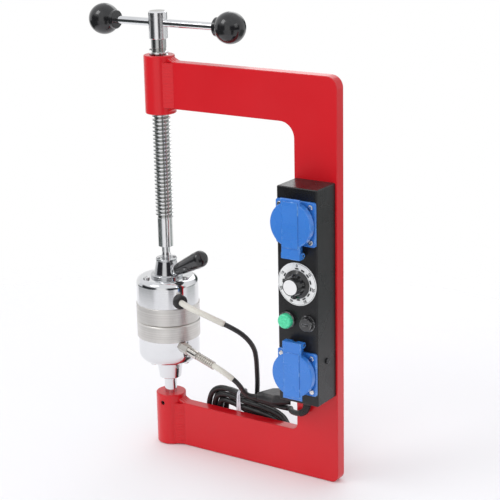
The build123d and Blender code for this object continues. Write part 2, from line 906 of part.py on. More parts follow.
def drill(piece, circle, angles, diameter, low, high):
    """Round holes on a circle round the screw's axis."""
    with BuildPart() as drilled:
        add(piece)
        with BuildSketch(Plane.XY.offset(low)):
            with Locations(*[polar(circle / 2, a, 0)[:2] for a in angles]):
                Circle(diameter / 2)
        extrude(amount=high - low, mode=Mode.SUBTRACT)
    return drilled.part


# Upper cup, with the holes of its three screws and of the lead's grommet
grommet_height = upper_cup_bottom + grommet_height_share * cup_height
exit_base = plane_along((0, 0, grommet_height), lead_exit_angle)
plain_upper_cup = drill(
    cup(upper_cup_top, upper_cup_bottom, cup_diameter, upper_cup_shoulder),
    cup_screw_circle,
    upper_screw_angles,
    cup_screw_diameter + 2 * running_clearance,
    upper_cup_top - 2 * cup_wall,
    upper_cup_top + overrun,
)
with BuildPart() as upper_cup:
    add(plain_upper_cup)
    with BuildSketch(exit_base.offset(cup_radius / 2)):
        Circle(grommet_neck_diameter / 2)
    extrude(amount=cup_diameter, mode=Mode.SUBTRACT)
save(upper_cup.part, "upper_cup")

# Rubber grommet that lines the hole in the upper cup
cup_radius = cup_diameter / 2
with BuildPart() as grommet:
    with BuildSketch(exit_base.offset(cup_radius - cup_wall - grommet_tail)):
        Circle(grommet_neck_diameter / 2)
    extrude(amount=grommet_tail + cup_wall + grommet_reach)
    with BuildSketch(exit_base.offset(cup_radius - grommet_tail)):
        Circle(grommet_flange_diameter / 2)
    extrude(amount=grommet_tail + grommet_reach)
    fillet(grommet.faces().sort_by(Axis(exit_base.origin, exit_base.z_dir))[-1].edges(), grommet_reach / 2)
    with BuildSketch(Plane.XY.offset(grommet_height - grommet_flange_diameter)):
        Circle(cup_radius)
    extrude(amount=2 * grommet_flange_diameter, mode=Mode.SUBTRACT)
    with BuildSketch(exit_base.offset(cup_radius - cup_wall - grommet_tail)):
        Circle(grommet_neck_diameter / 2)
    extrude(amount=grommet_tail + cup_wall + grommet_reach / 2)
    with BuildSketch(exit_base.offset(cup_radius - cup_wall - grommet_tail)):
        Circle(lead_diameter / 2)
    extrude(amount=grommet_tail + cup_wall + grommet_reach / 2, mode=Mode.SUBTRACT)
save(grommet.part, "upper_grommet")


def platen(face, way):
    """A heating plate: its working face at one height, the groove of its element in its back."""
    back = face + way * platen_height
    radius = platen_diameter / 2
    groove = element_tube_diameter / 2 + running_clearance
    chamfered = platen_chamfer if way < 0 else platen_edge
    spigot = (lower_cup_diameter if way < 0 else cup_diameter) / 2 - cup_wall - running_clearance
    return turned(
        [
            (0, face),
            (radius - chamfered, face),
            (radius, face + way * chamfered),
            (radius, back - way * platen_edge),
            (radius - platen_edge, back),
            (spigot, back),
            (spigot, back + way * platen_spigot_height),
            (element_ring_radius + groove, back + way * platen_spigot_height),
            (element_ring_radius + groove, back + way * platen_spigot_height - way * 2 * groove),
            (element_ring_radius - groove, back + way * platen_spigot_height - way * 2 * groove),
            (element_ring_radius - groove, back + way * platen_spigot_height),
            (0, back + way * platen_spigot_height),
        ]
    )


def element(face, way):
    """The heating tube, bent to a ring in the groove of its plate."""
    spigot_end = platen_height + platen_spigot_height
    middle = face + way * (spigot_end - element_tube_diameter / 2 - running_clearance)
    with BuildPart() as ring:
        with BuildSketch(Plane.XZ):
            with Locations((element_ring_radius, middle)):
                Circle(element_tube_diameter / 2)
        revolve(axis=Axis.Z)
    return ring.part


def insulator(face, way):
    """The mica disc that lies over the element, with a hole for the thermostat."""
    low = face + way * (platen_height + platen_spigot_height)
    return turned(
        [
            (thermostat_diameter / 2 + loose_clearance, low),
            (insulator_diameter / 2, low),
            (insulator_diameter / 2, low + way * insulator_thickness),
            (thermostat_diameter / 2 + loose_clearance, low + way * insulator_thickness),
        ]
    )


def thermostat(face, way):
    """The button thermostat that sits on the plate's back."""
    low = face + way * (platen_height + platen_spigot_height)
    radius = thermostat_diameter / 2
    return turned(
        [
            (0, low),
            (radius, low),
            (radius, low + way * thermostat_height / 2),
            (radius - hub_edge_radius, low + way * thermostat_height / 2),
            (radius - hub_edge_radius, low + way * thermostat_height),
            (0, low + way * thermostat_height),
        ]
    )


for side, face, way, circle, angles in (
    ("upper", upper_platen_bottom, 1, cup_screw_circle, upper_screw_angles),
    ("lower", parting_height, -1, lower_cup_screw_circle, lower_screw_angles),
):
    back = face + way * (platen_height + platen_spigot_height)
    tapped = drill(
        platen(face, way), circle, angles, cup_screw_diameter, back - way * cup_screw_grip, back + way
    )
    save(tapped, side + "_platen")
    save(element(face, way), side + "_element")
    pierced = drill(
        insulator(face, way),
        circle,
        angles,
        cup_screw_diameter + 2 * loose_clearance,
        back - way,
        back + way * (insulator_thickness + overrun),
    )
    save(pierced, side + "_insulator")
    save(thermostat(face, way), side + "_thermostat")

# Screws that hold the upper cup on its plate and the split ring on the hub
upper_grip = upper_cup_top - (upper_cup_bottom + platen_spigot_height) + cup_screw_grip
upper_screws = [
    slotted_screw(
        Plane(
            origin=polar(cup_screw_circle / 2, a, upper_cup_top),
            x_dir=polar(1, a + upper_cup_slot_turn, 0),
            z_dir=(0, 0, 1),
        ),
        cup_screw_diameter,
        upper_grip,
        cup_screw_head_diameter,
        cup_screw_head_height,
        slot_width,
    )
    for a in upper_screw_angles
]
upper_screws += [
    slotted_screw(
        Plane(
            origin=polar(hub_cap_screw_circle / 2, a, hub_cap_top),
            x_dir=polar(1, a + hub_cap_slot_turn, 0),
            z_dir=(0, 0, 1),
        ),
        hub_cap_screw_diameter,
        hub_cap_thickness + hub_cap_screw_grip,
        hub_cap_screw_head_diameter,
        hub_cap_screw_head_height,
        slot_width / 2,
    )
    for a in cap_screw_angles
]
save(group(upper_screws), "upper_heater_screws")

# Lower cup with its screw holes and the hole of the lead's gland
gland_base = plane_along(gland_root, gland_angle, -gland_fall)
plain_lower_cup = drill(
    cup(lower_cup_bottom, lower_platen_bottom, lower_cup_diameter, lower_cup_shoulder),
    lower_cup_screw_circle,
    lower_screw_angles,
    cup_screw_diameter + 2 * running_clearance,
    lower_cup_bottom - overrun,
    lower_cup_bottom + 2 * cup_wall,
)
with BuildPart() as lower_cup:
    add(plain_lower_cup)
    with BuildSketch(gland_base.offset(-gland_stub_length)):
        Circle(gland_stub_diameter / 2)
    extrude(amount=2 * gland_stub_length, mode=Mode.SUBTRACT)
save(lower_cup.part, "lower_cup")

# Lower hub, bored from below for the pin and tapped for its set screw
hub_set_height = lower_cup_bottom - hub_set_screw_drop
hub_set_base = plane_along((0, 0, hub_set_height), hub_set_screw_angle)
lower_base_radius = lower_hub_base_diameter / 2
with BuildPart() as lower_hub:
    with BuildSketch(Plane.XZ):
        with BuildLine():
            Polyline(
                (0, lower_cup_bottom),
                (lower_base_radius, lower_cup_bottom),
                (lower_hub_end_diameter / 2, lower_hub_bottom + hub_edge_radius),
                (lower_hub_end_diameter / 2 - hub_edge_radius, lower_hub_bottom),
                (pin_diameter / 2, lower_hub_bottom),
                (pin_diameter / 2, lower_hub_bottom + pin_in_hub),
                (0, lower_hub_bottom + pin_in_hub),
                close=True,
            )
        make_face()
    revolve(axis=Axis.Z)
    with BuildSketch(hub_set_base.offset(pin_diameter / 2)):
        Circle(set_screw_diameter / 2)
    extrude(amount=lower_base_radius, mode=Mode.SUBTRACT)
save(lower_hub.part, "lower_hub")

lower_pin = turned(
    [
        (0, lower_boss_top - pin_in_boss),
        (pin_diameter / 2 - small_edge, lower_boss_top - pin_in_boss),
        (pin_diameter / 2, lower_boss_top - pin_in_boss + small_edge),
        (pin_diameter / 2, lower_hub_bottom + pin_in_hub),
        (0, lower_hub_bottom + pin_in_hub),
    ]
)
save(lower_pin, "lower_pin")

# Screws that hold the lower heater together and fix it to the frame
lower_grip = cup_height - platen_spigot_height + cup_screw_grip
lower_hub_slope = (lower_hub_base_diameter - lower_hub_end_diameter) / 2 / lower_hub_height
hub_screw_face = lower_base_radius - hub_set_screw_drop * lower_hub_slope
lower_screws = [
    slotted_screw(
        Plane(
            origin=polar(lower_cup_screw_circle / 2, a, lower_cup_bottom),
            x_dir=polar(1, a + lower_cup_slot_turn, 0),
            z_dir=(0, 0, -1),
        ),
        cup_screw_diameter,
        lower_grip,
        cup_screw_head_diameter,
        cup_screw_head_height,
        slot_width,
    )
    for a in lower_screw_angles
]
lower_screws.append(
    grub_screw(
        hub_set_base.offset(hub_screw_face - set_screw_sink),
        set_screw_diameter,
        hub_screw_face - set_screw_sink - pin_diameter / 2,
    )
)
lower_screws.append(
    grub_screw(
        Plane(
            origin=(0, -boss_radius + set_screw_sink, boss_set_screw_height),
            x_dir=(1, 0, 0),
            z_dir=(0, -1, 0),
        ),
        set_screw_diameter,
        boss_radius - set_screw_sink - pin_diameter / 2,
    )
)
save(group(lower_screws), "lower_heater_screws")

# Gland of the lower lead: a hexagon nut and a barrel on a stub through the cup's wall
gland_end = gland_nut_length + gland_barrel_length
with BuildPart() as gland:
    with BuildSketch(gland_base.offset(-gland_stub_length)):
        RegularPolygon(gland_nut_diameter / 2, hex_sides)
    extrude(amount=gland_stub_length + gland_nut_length)
    with BuildSketch(gland_base.offset(gland_nut_length)):
        Circle(gland_barrel_diameter / 2)
    extrude(amount=gland_barrel_length)
    chamfer(gland.faces().sort_by(Axis(gland_base.origin, gland_base.z_dir))[-1].edges(), small_edge)
    with BuildSketch(Plane.XY.offset(lower_cup_bottom)):
        Circle(lower_cup_diameter / 2)
    extrude(amount=cup_height, mode=Mode.SUBTRACT)
    with BuildSketch(Plane.XY.offset(lower_platen_bottom)):
        Circle(platen_diameter / 2 + loose_clearance)
    extrude(amount=platen_height, mode=Mode.SUBTRACT)
    with BuildSketch(gland_base.offset(-gland_stub_length)):
        Circle(gland_stub_diameter / 2)
    extrude(amount=gland_stub_length + gland_nut_length / 2)
    with BuildSketch(gland_base.offset(-gland_stub_length)):
        Circle(lead_diameter / 2)
    extrude(amount=gland_stub_length + gland_end, mode=Mode.SUBTRACT)
save(gland.part, "lower_gland")

# Steel spring that keeps the sleeve from kinking where it leaves the gland
spring_pitch = (spring_length - spring_wire_diameter) / spring_turns
spring_radius = lower_sleeve_diameter / 2 + spring_wire_diameter / 2 + loose_clearance
spring_base = gland_base.offset(gland_end + spring_wire_diameter / 2 + loose_clearance)
with BuildPart() as strain_spring:
    with BuildLine() as spring_helix:
        Helix(
            pitch=spring_pitch,
            height=spring_length - spring_wire_diameter,
            radius=spring_radius,
            center=spring_base.origin,
            direction=spring_base.z_dir,
        )
    with BuildSketch(Plane(origin=spring_helix.line @ 0, z_dir=spring_helix.line % 0)):
        Circle(spring_wire_diameter / 2)
    sweep(is_frenet=True)
save(strain_spring.part, "strain_spring")


def cord(name, points, diameter):
    """A free stretch of cord: straight runs joined by arcs as large as the runs allow."""
    spots = [Vector(*p) for p in points]
    runs = [b - a for a, b in zip(spots, spots[1:])]
    radii = []
    for a, b in zip(runs, runs[1:]):
        half_bend = math.radians(a.get_angle(b)) / 2
        radii.append(cord_arc_share * min(a.length, b.length) / math.tan(half_bend))
    with BuildPart() as tube:
        with BuildLine() as route:
            FilletPolyline(*spots, radius=radii)
        with BuildSketch(Plane(origin=spots[0], z_dir=runs[0])):
            Circle(diameter / 2)
        sweep()
    length = route.wires()[0].length
    solid_share = tube.part.volume / (math.pi * (diameter / 2) ** 2 * length)
    print(name, "radii", [f"{r:.1f}" for r in radii], f"length {length:.1f}")
    print(name, f"volume over section times length {solid_share:.4f}")
    save(tube.part, name)
    return length


cord("upper_sleeve", upper_sleeve_route, sleeve_diameter)
cord("upper_lead", upper_lead_route, lead_diameter)
cord("lower_sleeve", lower_sleeve_route, lower_sleeve_diameter)
cord("lower_lead", lower_lead_route, lead_diameter)
cord("mains_tail", mains_tail_route, mains_diameter)
cord("mains_end", mains_end_route, mains_diameter)


def hank_stations():
    """Places and directions along the wound cord: in to the middle in the front layer, out in the back."""
    stations = []
    left = Vector(-1, 0, 0)
    right = Vector(1, 0, 0)
    down = Vector(0, 0, -1)
    up = Vector(0, 0, 1)
    start = Vector(*mains_tail_route[-1])
    stations.append((start, left))
    half_turns = 2 * hank_turns - 1
    sunk = [i / 2 for i in range(hank_turns)]
    sunk += sunk[:0:-1]
    back = hank_front + hank_step
    left_radius = hank_left_node - hank_left
    right_radius = hank_right - hank_right_node
    for i in range(half_turns):
        inset = sunk[i] * hank_step
        depth = hank_front if i < hank_turns else back
        if i % 2 == 0:
            drop = hank_climb_drop if i == hank_turns else 0
            stations.append((Vector(hank_waist, depth, hank_waist_top - inset - drop), left))
            stations.append((Vector(hank_left_node, depth, hank_left_top - inset), left))
            stations.append((Vector(hank_left + inset, depth, hank_left_top - left_radius), down))
            stations.append((Vector(hank_left + inset, depth, hank_floor + left_radius), down))
            stations.append((Vector(hank_left_node, depth, hank_floor + inset), right))
        else:
            waist_inset = sunk[i - 1] * hank_step
            stations.append((Vector(hank_waist, depth, hank_floor + hank_waist_lift + waist_inset), right))
            stations.append((Vector(hank_right_node, depth, hank_floor + inset), right))
            stations.append((Vector(hank_right - inset, depth, hank_floor + right_radius), up))
            stations.append((Vector(hank_right - inset, depth, hank_right_top - right_radius), up))
            stations.append((Vector(hank_right_node, depth, hank_right_top - inset), left))
    last_inset = sunk[-1] * hank_step
    stations.append((Vector(hank_waist, back, hank_floor + hank_waist_lift + last_inset), right))
    stations.append((Vector(hank_right_node, back, hank_floor), right))
    stations.append((Vector(*mains_end_route[0]), right))
    return stations


def biarc(start, start_way, end, end_way):
    """Two arcs, tangent where they meet, from one place and direction to the next."""
    span = end - start
    both = start_way + end_way
    along = span.dot(both)
    spread = 2 * (1 - start_way.dot(end_way))
    if spread < even_enough:
        if (span - start_way * span.dot(start_way)).length < even_enough:
            Line(start, end)
            return
        reach = (span.length / 2) ** 2 / span.dot(start_way)
    else:
        reach = (math.sqrt(along**2 + spread * span.dot(span)) - along) / spread
    first = start + start_way * reach
    last = end - end_way * reach
    middle = (first + last) / 2
    TangentArc(start, middle, tangent=start_way)
    TangentArc(middle, end, tangent=(last - first).normalized())


stations = hank_stations()
with BuildPart() as mains_hank:
    with BuildLine() as hank_route:
        for (place, way), (next_place, next_way) in zip(stations, stations[1:]):
            biarc(place, way, next_place, next_way)
    with BuildSketch(Plane(origin=stations[0][0], z_dir=stations[0][1])):
        Circle(mains_diameter / 2)
    sweep()
hank_wire = hank_route.wires()[0]
hank_length = hank_wire.length
count = int(hank_length / hank_sample_step)
samples = [hank_wire @ (i / count) for i in range(count + 1)]
spacing = hank_length / count
least = min(
    (samples[i] - samples[j]).length
    for i in range(count + 1)
    for j in range(i + 1, count + 1)
    if (j - i) * spacing > hank_near_share * mains_diameter
)
hank_solid_share = mains_hank.part.volume / (math.pi * (mains_diameter / 2) ** 2 * hank_length)
print(f"mains_hank length {hank_length:.1f}, least gap to itself {least - mains_diameter:.2f}")
print(f"mains_hank volume over section times length {hank_solid_share:.4f}")
save(mains_hank.part, "mains_hank")

# Tie round the waist of the hank
tie_gap = mains_diameter / 2 + loose_clearance
tie_low = hank_floor + hank_waist_lift - tie_gap
tie_high = hank_waist_top + tie_gap
tie_near = hank_front - tie_gap
tie_far = hank_front + hank_step + tie_gap
with BuildPart() as hank_tie:
    with BuildSketch(Plane.YZ.offset(hank_waist - tie_width / 2)):
        with Locations(((tie_near + tie_far) / 2, (tie_low + tie_high) / 2)):
            RectangleRounded(
                tie_far - tie_near + 2 * tie_thickness,
                tie_high - tie_low + 2 * tie_thickness,
                tie_corner_radius,
            )
            RectangleRounded(
                tie_far - tie_near, tie_high - tie_low, tie_corner_radius - tie_thickness, mode=Mode.SUBTRACT
            )
    extrude(amount=tie_width)
save(hank_tie.part, "hank_tie")


def flat_plug(entry, angle):
    """A flat moulded plug: neck, tapered body and two pins, pointing away from its cord."""
    base = plane_along(entry, angle)
    taper_length = plug_taper_share * plug_length
    with BuildPart() as body:
        with BuildSketch(base):
            Circle(plug_neck_diameter / 2)
        with BuildSketch(base.offset(plug_neck_length)):
            SlotOverall(plug_width / 2, plug_thickness - small_edge)
        loft()
        with BuildSketch(base.offset(plug_neck_length)):
            SlotOverall(plug_width / 2, plug_thickness - small_edge)
        with BuildSketch(base.offset(plug_neck_length + taper_length)):
            SlotOverall(plug_width, plug_thickness)
        loft()
        with BuildSketch(base.offset(plug_neck_length + taper_length)):
            SlotOverall(plug_width, plug_thickness)
        extrude(amount=plug_length - taper_length)
    front = base.offset(plug_neck_length + plug_length)
    with BuildPart() as pins:
        with BuildSketch(front):
            with GridLocations(plug_pin_pitch, 0, 2, 1):
                Circle(plug_pin_diameter / 2)
        extrude(amount=plug_pin_length)
        flat = pins.faces().filter_by(GeomType.PLANE)
        chamfer(flat.group_by(Axis(base.origin, base.z_dir))[-1].edges(), small_edge)
    return body.part, pins.part


upper_plug, upper_pins = flat_plug(upper_lead_route[-1], half_turn)
lower_plug, lower_pins = flat_plug(lower_lead_route[-1], lower_plug_angle)
save(upper_plug, "upper_lead_plug")
save(lower_plug, "lower_lead_plug")

# Round plug of the mains cord
mains_plug_base = plane_along(mains_end_route[-1], half_turn)
mains_plug_total = mains_plug_neck_length + mains_plug_length
mains_plug = turned(
    [
        (0, 0),
        (mains_plug_neck_diameter / 2 - small_edge, 0),
        (mains_plug_neck_diameter / 2, small_edge),
        (mains_plug_neck_diameter / 2 + small_edge, mains_plug_neck_length),
        (mains_plug_diameter / 2 - plug_edge_radius, mains_plug_total - mains_plug_front),
        (mains_plug_diameter / 2 - small_edge, mains_plug_total - mains_plug_front + plug_edge_radius),
        (mains_plug_diameter / 2 - small_edge, mains_plug_total - small_edge),
        (mains_plug_diameter / 2 - 2 * small_edge, mains_plug_total),
        (0, mains_plug_total),
    ],
    mains_plug_base,
)
save(mains_plug, "mains_plug")
with BuildPart() as mains_pins:
    with BuildSketch(mains_plug_base.offset(mains_plug_total)):
        with GridLocations(plug_pin_pitch, 0, 2, 1):
            Circle(mains_pin_diameter / 2)
    extrude(amount=plug_pin_length)
all_pins = upper_pins.solids() + lower_pins.solids() + mains_pins.part.solids()
save(group(all_pins), "plug_pins")

# Control box: back plate with a lug each side for the cover's screws
inner_left = box_left + box_sheet + sheet_clearance
inner_right = box_right - box_sheet - sheet_clearance
inner_bottom = box_bottom + box_sheet + sheet_clearance
inner_top = box_top - box_sheet - sheet_clearance
with BuildPart() as box_back_plate:
    with BuildSketch(Plane.XZ.offset(-box_back)):
        with Locations((box_middle, (inner_bottom + inner_top) / 2)):
            Rectangle(inner_right - inner_left, inner_top - inner_bottom)
        with Locations(*[(box_middle, h) for h in mount_screw_heights]):
            Circle(mount_screw_diameter / 2, mode=Mode.SUBTRACT)
    extrude(amount=box_sheet)
    for lug_x in (inner_left, inner_right - box_sheet):
        with BuildSketch(Plane.YZ.offset(lug_x)):
            with Locations((box_back - back_lug_depth / 2, box_screw_height)):
                Rectangle(back_lug_depth, back_lug_width)
            with Locations((box_back - box_screw_depth, box_screw_height)):
                Circle(box_screw_diameter / 2, mode=Mode.SUBTRACT)
        extrude(amount=box_sheet)
save(box_back_plate.part, "box_back")

# Control box: the folded cover, open at the back, with the cut-outs of all that it carries
socket_heights = [upper_socket_height, lower_socket_height]
half_pitch = socket_screw_pitch / 2
socket_screw_spots = [
    (box_middle + across * half_pitch, height + rise * half_pitch)
    for height in socket_heights
    for across in (-1, 1)
    for rise in (-1, 1)
]
mains_exit = mains_tail_route[0]
with BuildPart() as box_cover:
    with BuildSketch(Plane.XZ.offset(-box_back)):
        with Locations((box_middle, (box_bottom + box_top) / 2)):
            Rectangle(box_width, box_height)
    extrude(amount=box_depth)
    fillet(box_cover.edges().filter_by(Axis.Z).group_by(Axis.Y)[0], box_corner_radius)
    fillet(box_cover.edges().group_by(Axis.Y)[0].filter_by(Axis.X), box_corner_radius)
    with BuildSketch(Plane.XZ.offset(-box_back - overrun)):
        with Locations((box_middle, (box_bottom + box_top) / 2)):
            Rectangle(box_width - 2 * box_sheet, box_height - 2 * box_sheet)
    extrude(amount=box_depth - box_sheet + overrun, mode=Mode.SUBTRACT)
    with BuildSketch(Plane.XZ.offset(-box_front + overrun)):
        with Locations(*[(box_middle, h) for h in socket_heights]):
            Circle(socket_body_diameter / 2 + loose_clearance)
        with Locations(*socket_screw_spots):
            Circle(socket_screw_diameter / 2)
        with Locations((box_middle, dial_height)):
            Circle(dial_hole_diameter / 2)
        with Locations((lamp_across, lamp_height)):
            Circle(lamp_body_diameter / 2)
        with Locations((fuse_across, fuse_height)):
            Circle(fuse_body_diameter / 2)
    extrude(amount=-box_sheet - 2 * overrun, mode=Mode.SUBTRACT)
    with BuildSketch(Plane.YZ.offset(box_left - overrun)):
        with Locations((box_back - box_screw_depth, box_screw_height)):
            Circle(box_screw_diameter / 2)
    extrude(amount=box_width + 2 * overrun, mode=Mode.SUBTRACT)
    with BuildSketch(Plane.XY.offset(box_bottom - overrun)):
        with Locations(mains_exit[:2]):
            Circle(mains_gland_neck / 2)
    extrude(amount=box_sheet + 2 * overrun, mode=Mode.SUBTRACT)
save(box_cover.part, "box_cover")

# Screws of the box: two through its back into the column, one in each side of the cover
box_screws = [
    slotted_screw(
        Plane(origin=(box_middle, box_back - box_sheet, h), x_dir=(1, 0, 0), z_dir=(0, -1, 0)),
        mount_screw_diameter,
        box_sheet + plate_thickness - mount_screw_end_gap,
        mount_screw_head_diameter,
        mount_screw_head_height,
        slot_width,
    )
    for h in mount_screw_heights
]
box_screws += [
    slotted_screw(
        Plane(
            origin=(x, box_back - box_screw_depth, box_screw_height),
            x_dir=(0, 1, 1),
            z_dir=(way, 0, 0),
        ),
        box_screw_diameter,
        box_screw_length,
        box_screw_head_diameter,
        box_screw_head_height,
        slot_width,
    )
    for x, way in ((box_left, -1), (box_right, 1))
]
save(group(box_screws), "box_screws")

# Mains gland in the floor of the box
mains_gland = turned(
    [
        (mains_diameter / 2, mains_exit[2]),
        (mains_gland_neck / 2, mains_exit[2]),
        (mains_gland_diameter / 2, box_bottom - mains_gland_head / 2),
        (mains_gland_diameter / 2, box_bottom),
        (mains_gland_neck / 2, box_bottom),
        (mains_gland_neck / 2, box_bottom + mains_gland_tail),
        (mains_diameter / 2, box_bottom + mains_gland_tail),
    ],
    Plane(origin=(mains_exit[0], mains_exit[1], 0)),
)
save(mains_gland, "mains_gland")


def socket(height, way):
    """A panel socket: housing with collar and lid hinge, and the insert that holds the contacts."""
    hinge_z = height + way * hinge_offset
    hinge_y = box_front - hinge_reach
    centre = (box_middle, height)
    inner_half = hinge_width / 2 - hinge_ear_width - loose_clearance
    flange_front = box_front - socket_flange_thickness
    recess_floor = box_front - socket_collar_reach + socket_recess_depth
    with BuildPart() as body:
        with BuildSketch(Plane.XZ.offset(-box_front)):
            with Locations(centre):
                RectangleRounded(socket_flange_size, socket_flange_size, socket_flange_radius)
        extrude(amount=socket_flange_thickness)
        chamfer(body.faces().sort_by(Axis.Y)[0].edges(), small_edge)
        with BuildSketch(Plane.XZ.offset(-box_front)):
            with Locations(centre):
                Circle(socket_collar_diameter / 2)
        extrude(amount=socket_collar_reach)
        with BuildSketch(Plane.XZ.offset(-box_front)):
            with Locations(centre):
                Circle(socket_body_diameter / 2)
        extrude(amount=-socket_body_depth)
        web_low = min(height + way * (socket_flange_size / 2 - hinge_web_length), hinge_z)
        web_high = max(height + way * (socket_flange_size / 2 - hinge_web_length), hinge_z)
        with BuildSketch(Plane.XZ.offset(-box_front)):
            with Locations((box_middle, (web_low + web_high) / 2)):
                Rectangle(2 * inner_half, web_high - web_low)
        extrude(amount=hinge_reach)
        with BuildSketch(Plane.YZ.offset(box_middle - inner_half)):
            with Locations((hinge_y, hinge_z)):
                Circle(knuckle_diameter / 2)
        extrude(amount=2 * inner_half)
        with BuildSketch(Plane.YZ.offset(box_middle - spring_gap_width / 2)):
            with Locations((hinge_y, hinge_z)):
                Rectangle(2 * hinge_reach, knuckle_diameter + 2 * loose_clearance)
        extrude(amount=spring_gap_width, mode=Mode.SUBTRACT)
        with BuildSketch(Plane.YZ.offset(box_middle - hinge_width)):
            with Locations((hinge_y, hinge_z)):
                Circle(lid_pin_diameter / 2)
        extrude(amount=2 * hinge_width, mode=Mode.SUBTRACT)
        with BuildSketch(Plane.XZ.offset(-box_front + socket_collar_reach)):
            with Locations(centre):
                Circle(socket_recess_diameter / 2)
        extrude(amount=-socket_collar_reach - socket_body_depth, mode=Mode.SUBTRACT)
        with BuildSketch(Plane.XZ.offset(-flange_front + overrun)):
            with Locations(
                *[(box_middle + a * half_pitch, height + b * half_pitch) for a in (-1, 1) for b in (-1, 1)]
            ):
                Circle(socket_screw_diameter / 2)
        extrude(amount=-socket_flange_thickness - 2 * overrun, mode=Mode.SUBTRACT)
    with BuildPart() as insert:
        with BuildSketch(Plane.XZ.offset(-recess_floor)):
            with Locations(centre):
                Circle(socket_recess_diameter / 2 - running_clearance)
            with Locations(*[(box_middle + s * contact_pitch / 2, height) for s in (-1, 1)]):
                Circle(contact_diameter / 2, mode=Mode.SUBTRACT)
        extrude(amount=-(box_front + socket_body_depth - recess_floor))
    return group([body.part, insert.part])


def lid(height, way):
    """The sprung lid: a round cap with a finger lip, and an arm that ends in two hinge ears."""
    hinge_z = height + way * hinge_offset
    hinge_y = box_front - hinge_reach
    outer = box_front - lid_outer_reach
    inner_face = outer + lid_wall
    lip_z = height - way * lid_lip_reach
    arm_end = hinge_z + way * knuckle_diameter / 2
    with BuildPart() as piece:
        with BuildSketch(Plane.XZ.offset(-outer)):
            with Locations((box_middle, height)):
                Circle(lid_diameter / 2)
            with Locations((box_middle, (height + lip_z) / 2)):
                Rectangle(lid_lip_width, abs(height - lip_z))
            with Locations((box_middle, (height + arm_end) / 2)):
                Rectangle(hinge_width, abs(height - arm_end))
        extrude(amount=-lid_wall)
        fillet(piece.faces().sort_by(Axis.Y)[0].edges(), lid_edge_radius)
        with BuildSketch(Plane.XZ.offset(-inner_face)):
            with Locations((box_middle, height)):
                Circle(lid_diameter / 2)
                Circle(lid_diameter / 2 - lid_wall, mode=Mode.SUBTRACT)
        extrude(amount=-(lid_rim_depth - lid_wall))
        with BuildSketch(Plane.YZ.offset(box_middle - hinge_width / 2)):
            with BuildLine():
                Polyline(
                    (outer, hinge_z - knuckle_diameter / 2),
                    (hinge_y, hinge_z - knuckle_diameter / 2),
                    (hinge_y, hinge_z + knuckle_diameter / 2),
                    (outer, hinge_z + knuckle_diameter / 2),
                    close=True,
                )
            make_face()
            with Locations((hinge_y, hinge_z)):
                Circle(knuckle_diameter / 2)
        extrude(amount=hinge_width)
        with BuildSketch(Plane.YZ.offset(box_middle - hinge_width / 2 + hinge_ear_width)):
            with Locations((hinge_y, hinge_z)):
                Circle(knuckle_diameter / 2 + hinge_clearance)
            with Locations((hinge_y + knuckle_diameter / 2, hinge_z)):
                Rectangle(knuckle_diameter, knuckle_diameter + 2 * hinge_clearance)
        extrude(amount=hinge_width - 2 * hinge_ear_width, mode=Mode.SUBTRACT)
        with BuildSketch(Plane.YZ.offset(box_middle - hinge_width)):
            with Locations((hinge_y, hinge_z)):
                Circle(lid_pin_diameter / 2 + running_clearance)
        extrude(amount=2 * hinge_width, mode=Mode.SUBTRACT)
        with BuildSketch(Plane.XZ.offset(-outer)):
            with Locations((box_middle, height)):
                Rectangle(lid_lip_width - 2 * lid_wall, lid_diameter)
        extrude(amount=lid_step_height)
    return piece.part


hinge_half = hinge_width / 2
pins = []
springs = []
contacts = []
for side, height, way in (("upper", upper_socket_height, -1), ("lower", lower_socket_height, 1)):
    save(socket(height, way), side + "_socket")
    save(lid(height, way), side + "_socket_lid")
    hinge_z = height + way * hinge_offset
    hinge_y = box_front - hinge_reach
    with BuildPart() as lid_pin:
        with BuildSketch(Plane.YZ.offset(box_middle - hinge_half)):
            with Locations((hinge_y, hinge_z)):
                Circle(lid_pin_diameter / 2)
        extrude(amount=hinge_width)
    pins.append(lid_pin.part)
    coil_height = spring_gap_width - lid_spring_wire - 2 * loose_clearance
    with BuildPart() as lid_spring:
        with BuildLine() as lid_helix:
            Helix(
                pitch=coil_height / lid_spring_turns,
                height=coil_height,
                radius=lid_spring_diameter / 2 - lid_spring_wire / 2,
                center=(box_middle - coil_height / 2, hinge_y, hinge_z),
                direction=(1, 0, 0),
            )
        with BuildSketch(Plane(origin=lid_helix.line @ 0, z_dir=lid_helix.line % 0)):
            Circle(lid_spring_wire / 2)
        sweep(is_frenet=True)
    springs.append(lid_spring.part)
    recess_floor = box_front - socket_collar_reach + socket_recess_depth
    for across in (-1, 1):
        with BuildPart() as contact:
            with BuildSketch(Plane.XZ.offset(-recess_floor)):
                with Locations((box_middle + across * contact_pitch / 2, height)):
                    Circle(contact_diameter / 2)
                    Circle(contact_bore_diameter / 2, mode=Mode.SUBTRACT)
            extrude(amount=-contact_length)
        contacts.append(contact.part)
    recess_radius = socket_recess_diameter / 2
    for rise in (-1, 1):
        with BuildPart() as clip:
            clip_z = height + rise * (recess_radius - earth_clip_thickness)
            with BuildSketch(Plane.XZ.offset(-recess_floor)):
                with Locations((box_middle, clip_z)):
                    Rectangle(earth_clip_width, earth_clip_thickness)
            extrude(amount=earth_clip_length)
        contacts.append(clip.part)
save(group(pins), "lid_pins")
save(group(springs), "lid_springs")
save(group(contacts), "socket_contacts")

socket_screws = [
    slotted_screw(
        Plane(
            origin=(x, box_front - socket_flange_thickness, z),
            x_dir=(1, 0, 1),
            z_dir=(0, -1, 0),
        ),
        socket_screw_diameter,
        socket_screw_length,
        socket_screw_head_diameter,
        socket_screw_head_height,
        slot_width / 2,
    )
    for x, z in socket_screw_spots
]
save(group(socket_screws), "socket_screws")

